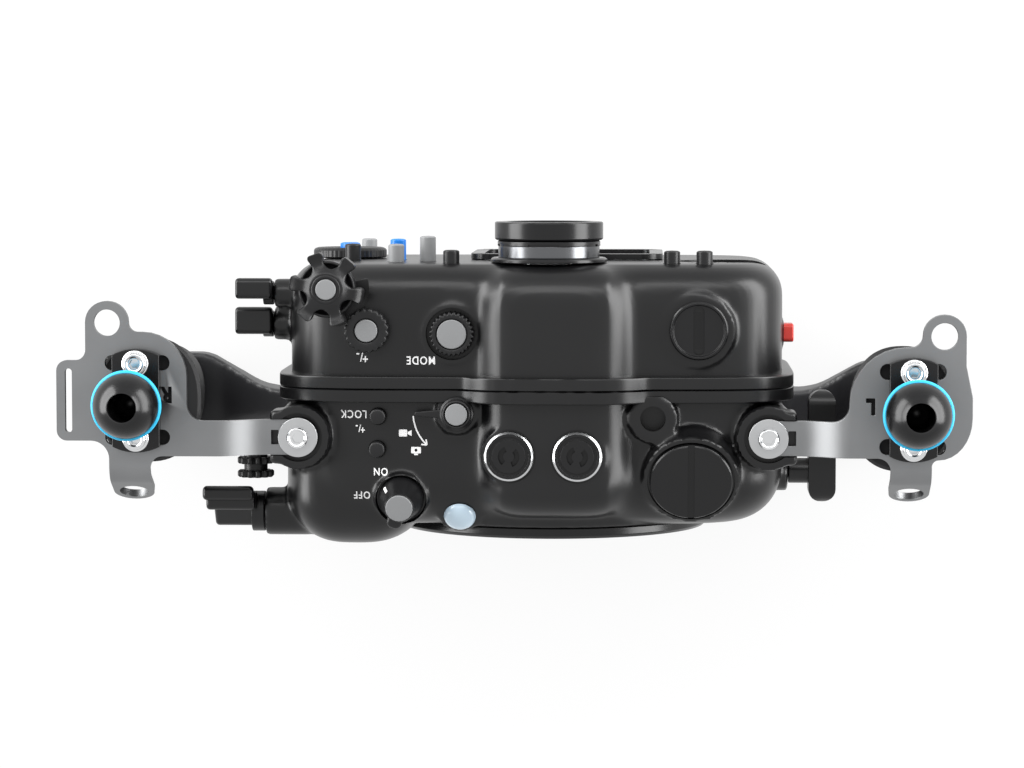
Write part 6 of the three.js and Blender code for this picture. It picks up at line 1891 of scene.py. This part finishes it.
@dataclass(frozen=True)
class Grip:
    """A rubber hand grip with finger grooves under a flared cap."""

    side: Side
    low: float = GRIP_LOW
    high: float = GRIP_HIGH
    half_width: float = 17.0
    half_length: float = 21.0
    cap_half_width: float = 20.0
    cap_half_length: float = 24.0
    cap: float = 5.0
    grooves: int = 4
    groove_depth: float = 2.2
    taper: float = 2.0
    foot_round: float = 1.6
    rim_round: float = 1.2
    seam: float = 0.5
    squareness: float = 2.3
    body_steps: int = 56
    flare_steps: int = 8

    def point(self, station: tuple[float, ...], turn: float) -> Point:
        """Return the point of a ring. A station is height, half width, half length and groove depth."""
        z, width, length, dent = station
        front = max(-math.sin(turn), 0.0)
        reach = length - dent * front
        x, y = self.side.grip_axis(z)
        across, along = math.cos(turn), math.sin(turn)
        power = 2 / self.squareness
        return (
            x + width * math.copysign(abs(across) ** power, across),
            y + reach * math.copysign(abs(along) ** power, along),
            z,
        )

    def stations(self) -> list[tuple[float, float, float, float]]:
        """Return every ring of the grip from bottom to top."""
        neck = self.high - 2 * self.cap
        rise = neck - self.low
        rings = []
        for i in range(self.body_steps + 1):
            share = i / self.body_steps
            wave = (1 - math.cos(2 * math.pi * self.grooves * share)) / 2
            drawn = self.taper * (1 - math.sin(math.pi * share)) + self.foot_round * max(1 - i / 2, 0) ** 2
            rings.append((
                self.low + rise * share, self.half_width - drawn, self.half_length - drawn,
                self.groove_depth * wave,
            ))
        width, length, top = self.cap_half_width, self.cap_half_length, self.high
        start_w, start_l = self.half_width - self.taper, self.half_length - self.taper
        for i in range(1, self.flare_steps + 1):
            share = i / self.flare_steps
            blend = share * share * (3 - 2 * share)
            rings.append((
                neck + self.cap * share, start_w + (width - start_w) * blend,
                start_l + (length - start_l) * blend, 0.0,
            ))
        for under, inset in ((3.6, 0.0), (3.4, self.seam), (3.0, self.seam), (2.8, 0.0)):
            rings.append((top - under, width - inset, length - inset, 0.0))
        for i in range(5):
            under = self.rim_round * math.cos(QUARTER * i / 4)
            inset = self.rim_round - under
            rings.append((top - under, width - inset, length - inset, 0.0))
        return rings

    def build(self) -> None:
        """Build the grip."""
        shape, node = loft(self.stations(), self.point, 72), f"{self.side.name}_grip"
        finished(f"{node}_rubber", shape, Finishes.grip, "housing_front", [node], 40)


@dataclass(frozen=True)
class Arm:
    """A cast arm from the wall to the foot of a grip."""

    side: Side
    foot: float = 14.0
    reach: float = 16.0
    root: float = 6.0
    root_top: float = 38.0
    root_bottom: float = 5.0
    waist: float = 0.42

    def build(self) -> None:
        """Build the arm."""
        s = self.side
        sign, wall = s.sign, s.wall_x + s.sign * GAP
        root = wall - sign * self.root
        middle, across = s.grip_axis(GRIP_LOW)
        outer, inner = middle + sign * self.reach, middle - sign * self.reach
        waist = wall + (inner - wall) * self.waist
        front, rear, past = across - self.reach, across + self.reach, outer + sign * 2
        plan = prism([
            (root, 17, 0), (waist, 16, 24), (inner, rear, 14), (outer, rear, 14), (outer, front, 14),
            (inner, front, 7), (waist, -6, 14), (root, -7, 0),
        ], -1, self.root_top + 1, 8)
        profile = prism_along_y([
            (root, self.root_top, 0), (wall + sign * 5.3, self.root_top, 5.2),
            (inner - sign * 8, self.foot, 8), (past, self.foot, 0), (past, 0, 0),
            (inner, 0, 5.3), (waist, self.root_bottom, 5.3), (root, self.root_bottom, 0),
        ], -60, 60)
        body = cast(carved(plan, [profile], "INTERSECT"), 1.1, 5)
        for vert in body.verts:
            vert.co.z = max(vert.co.z, 0.0)
        shape = carved(body, [
            SHELL.body(FRONT_Y, FRONT_ROUNDING, REAR_Y, REAR_ROUNDING, -GAP),
            BULGE.body(BULGE_FRONT_Y, BULGE_ROUNDING, BULGE_REAR_Y, 0, -GAP),
            SHELL.body(PARTING_Y - 5.3, 0, PARTING_Y + 5.3, 0, -GAP - Lip.overhang),
        ])
        # The arm's finish is a lighter copy of the casting's black: painted light.
        finished(f"{s.name}_arm_casting", shape, Finishes.arm, "housing_front", [f"{s.name}_arm"], 38)


class Lettering:
    """White markings printed on a casting, read from the rear with their feet toward the rear.

    Over is a height above everything, usual the skin's height where a ray misses it.
    """

    over = 260.0
    usual = 137.0
    thickness = 0.06

    def __init__(self, casting: bpy.types.Object, body: str) -> None:
        """Read the casting's skin.

        Args:
            casting: the piece that carries the print.
            body: the body that the print moves with.
        """
        skin = bmesh.new()
        skin.from_mesh(casting.data)
        self.tree = BVHTree.FromBMesh(skin)
        skin.free()
        self.body = body

    def press(self, name: str, shape: BMesh, x: float, y: float, turn: float = 180.0) -> None:
        """Lay a flat shape on the skin.

        Args:
            name: the name of the print.
            shape: faces in the x and y plane, used up by this.
            x: where its origin goes along x.
            y: where its origin goes along y.
            turn: its turn about the upright axis in degrees.
        """
        moved(shape, Matrix.Translation((x, y, 0)) @ Matrix.Rotation(math.radians(turn), 4, "Z"))
        for vert in shape.verts:
            start = Vector((vert.co.x, vert.co.y, self.over)) * MILLIMETRE
            hit = self.tree.ray_cast(start, Vector((0, 0, -1)))[0]
            vert.co.z = (hit.z / MILLIMETRE if hit else self.usual) + self.thickness
        finished(name, shape, Finishes.ink, self.body)

    def write(self, name: str, words: str, size: float, x: float, y: float) -> None:
        """Print words, their capitals as high as the size in millimetres, about x and y."""
        self.press(name, letters(words, size), x, y)


class Studio:
    """Camera, floor, lamps and surroundings."""

    # Place, axes and focal length of the photograph's camera, solved from points of the housing.
    eye = Vector((39.16, 119.61, 1471.8)) * MILLIMETRE
    right = Vector((0.99922028, 0.0, -0.03948205))
    up = Vector((-0.00275835, 0.99755657, -0.06980885))
    back = Vector((0.03938558, 0.06986332, 0.99677876))
    lens = 122.48
    sensor = 36.0
    reach = 20.0
    white = (1.0, 1.0, 1.0, 1.0)
    paper = (0.86, 0.86, 0.86, 1.0)
    floor_glow = 0.88
    air = 0.45
    target = (0.0, 0.03, 0.1)
    # Place, size of the face in metres and watts of each lamp.
    lamps = {
        "right_softbox": ((-1.3, 0.45, 0.5), (1.9, 0.8), 45),
        "left_softbox": ((1.3, 0.45, 0.5), (1.9, 0.8), 45),
        "rear_strip": ((0.0, 0.95, 1.15), (1.4, 0.4), 7),
    }

    def camera(self) -> None:
        """Set the camera to the photograph's view."""
        data = bpy.data.cameras.new("camera")
        data.lens, data.sensor_width, data.clip_end = self.lens, self.sensor, self.reach
        camera = in_scene("camera", data)
        turn = Matrix((self.right, self.up, self.back)).transposed().to_4x4()
        camera.matrix_world = Matrix.Translation(self.eye) @ turn
        bpy.context.scene.camera = camera

    def seen(self, tree: Tree) -> Socket:
        """Return a value that is one for what the camera sees, also in metal and through glass."""
        rays = add_node(tree, "ShaderNodeLightPath").outputs
        mirrored = {0: rays["Is Glossy Ray"], 1: rays["Is Transmission Ray"]}
        shiny = add_node(tree, "ShaderNodeMath", mirrored, operation="MAXIMUM")
        every = {0: rays["Is Camera Ray"], 1: shiny.outputs[0]}
        return add_node(tree, "ShaderNodeMath", every, operation="MAXIMUM").outputs[0]

    def floor(self) -> None:
        """Lay the white floor: the camera sees it near white, and the shadow stays."""
        shape = bmesh.new()
        bmesh.ops.create_grid(shape, x_segments=1, y_segments=1, size=3.0)
        bmesh.ops.translate(shape, vec=(0, 0, -0.0006), verts=shape.verts)
        mesh = mesh_from(shape, "studio_floor")
        floor = in_scene("studio_floor", mesh)
        paper = bpy.data.materials.new("white_paper")
        tree = empty_tree(paper)
        matt = add_node(tree, "ShaderNodeBsdfDiffuse", {"Color": self.paper})
        glow = add_node(tree, "ShaderNodeEmission", {"Color": self.white, "Strength": 1.0})
        part = {0: self.seen(tree), 1: self.floor_glow}
        share = add_node(tree, "ShaderNodeMath", part, operation="MULTIPLY")
        shaders = {0: share.outputs[0], 1: matt.outputs["BSDF"], 2: glow.outputs["Emission"]}
        mixed = add_node(tree, "ShaderNodeMixShader", shaders)
        add_node(tree, "ShaderNodeOutputMaterial", {"Surface": mixed.outputs[0]})
        mesh.materials.append(paper)

    def world(self) -> None:
        """Set soft white surroundings."""
        world = bpy.data.worlds.new("studio_air")
        tree = empty_tree(world)
        shares = {"Value": self.seen(tree), "To Min": self.air, "To Max": 1.0}
        strength = add_node(tree, "ShaderNodeMapRange", shares)
        light = {"Color": self.white, "Strength": strength.outputs["Result"]}
        sky = add_node(tree, "ShaderNodeBackground", light)
        add_node(tree, "ShaderNodeOutputWorld", {"Surface": sky.outputs["Background"]})
        bpy.context.scene.world = world

    def lamp(self, name: str, place: Point, size: Pair, power: float) -> None:
        """Hang a soft lamp that points at the housing.

        Args:
            name: its name.
            place: where it hangs, in metres.
            size: width and height of its face in metres.
            power: its power in watts.
        """
        data = bpy.data.lights.new(name, "AREA")
        data.shape = "RECTANGLE"
        data.size, data.size_y = size
        data.energy = power
        lamp = in_scene(name, data)
        way = Vector(self.target) - Vector(place)
        lamp.matrix_world = Matrix.Translation(place) @ way.to_track_quat("-Z", "Y").to_matrix().to_4x4()

    def build(self) -> None:
        """Set up the whole studio."""
        self.camera()
        self.floor()
        self.world()
        for name, (place, size, power) in self.lamps.items():
            self.lamp(name, place, size, power)
        bpy.context.scene.view_settings.view_transform = "Standard"


def build_controls() -> None:
    """Build every control on the top, the sides and the back."""
    StarDial().build()
    ScallopedDial("exposure_dial", "exposure", Control.EXPOSURE, 8.6, 6.2, 4.3, -9.6, 20, 0.5, 2.0).build()
    ScallopedDial("mode_dial", "mode", Control.MODE, 8.6, 8.0, 5.6, -9.0, 28, 0.7, 1.5).build()
    PowerSwitch().build()
    DriveLever().build()
    for name, seat in (("lock", Control.LOCK), ("custom", Control.CUSTOM)):
        PushButton(f"{name}_button", f"{name}_press", seat, 3.05, 4.8, 4.0, Finishes.nylon).build()
    LeakLamp().build()
    BulkheadPlug("right_bulkhead_plug", Control.RIGHT_PLUG).build()
    BulkheadPlug("left_bulkhead_plug", Control.LEFT_PLUG).build()
    SlottedCap("vacuum_plug", "rear_door", Control.VACUUM, 11.3, 2.4, 1.3, 0.8, 4.2, 1.4, 7.0).build()
    SlottedCap("bulkhead_cap", "housing_front", Control.CAP, 16.0, 2.6, 0.6, 0.0, 2.6, 1.0, 12.0).build()
    SideLever("record_lever", "record_thumb", Control.RECORD, 5.2, -123.3, 1.4, 5.0, 10.6, 6.0).build()
    SideLever("af_on_lever", "af_thumb", Control.AF_ON, 4.6, -121.9, 2.0, 6.6, 8.0, 6.0).build()
    ShutterLever().build()
    FrontDial().build()
    PortRelease().build()
    ControlWheel().build()
    Latch().build()
    for name, (x, z, proud, finish) in REAR_BUTTONS.items():
        seat = Seat(x, REAR_Y, z, Facing.REAR)
        PushButton(name, f"{name}_press", seat, 3.15, proud, 4.1, finish).build()


def build_markings(front: bpy.types.Object, rear: bpy.types.Object) -> None:
    """Print the plain words and the travel arc of the switches.

    Args:
        front: the front casting.
        rear: the rear casting.
    """
    top = Lettering(front, "housing_front")
    back = Lettering(rear, "rear_door")
    top.write("print_on", "ON", 2.9, -64.3, -7.9)
    top.write("print_off", "OFF", 2.9, -71.7, -17.2)
    top.write("print_lock", "LOCK", 3.0, -74.7, 14.3)
    back.write("print_mode", "MODE", 3.1, -48.6, 35.2)
    signs = (("plus", "+", 1), ("slash", "/", 0), ("minus", "-", -1))
    for print_on, name, scale, x, y in ((top, "bias", 0.8, -72.4, 8.8), (back, "exposure", 1.0, -71.6, 36.4)):
        for sign, mark, side in signs:
            across, along = x + side * 1.45 * scale, y - side * 0.7 * scale
            print_on.write(f"print_{name}_{sign}", mark, 3.4 * scale, across, along)
    build_drive_print(top)


def build_drive_print(top: Lettering) -> None:
    """Print the travel arrow of the drive lever with the plain signs for film and still.

    Args:
        top: the print on the front casting.
    """
    hub = Control.DRIVE
    reach, start, sweep = 17.1, 184.0, 41.0
    top.press("print_drive_arc", arc_band(reach, 0.55, start, sweep), hub.x, hub.y, 0.0)
    tip = math.radians(start + sweep + 1.5)
    half, length = 0.28, 2.2
    place = (hub.x + reach * math.cos(tip), hub.y + reach * math.sin(tip))
    for name, turn in (("inner", 38.0), ("outer", -38.0)):
        barb = flat([(-half, -length, 0), (half, -length, 0), (half, 0, 0), (-half, 0, 0)])
        top.press(f"print_drive_barb_{name}", barb, *place, math.degrees(tip) + turn)
    film = joined(
        flat(rounded_corners(3.2, 2.7, 0.4, 1.0, 0)),
        flat([(-2.3, -1.15, 0), (-0.8, -0.4, 0), (-0.8, 0.4, 0), (-2.3, 1.15, 0)]),
    )
    top.press("print_film_sign", film, -54.6, 7.0)
    still = joined(
        flat(rounded_corners(3.8, 2.5, 0.4), 0.6),
        flat([(-0.9, 1.35, 0), (0.9, 1.35, 0), (0.6, 1.95, 0), (-0.6, 1.95, 0)]),
    )
    top.press("print_still_sign", still, -50.6, 0.4)


def main() -> None:
    """Build the housing and its studio."""
    logging.basicConfig(level=logging.INFO, format="%(message)s")
    front = FrontShell().build()
    rear = RearShell().build()
    build_controls()
    PortRing().build()
    RearGlass().build()
    for side in SIDES:
        Bracket(side).build()
        BallMount(side).build()
        Grip(side).build()
        Arm(side).build()
    for node, finish in KEPT.items():
        dressed(node, finish)
    build_markings(front, rear)
    Studio().build()


if __name__ == "__main__":
    main()
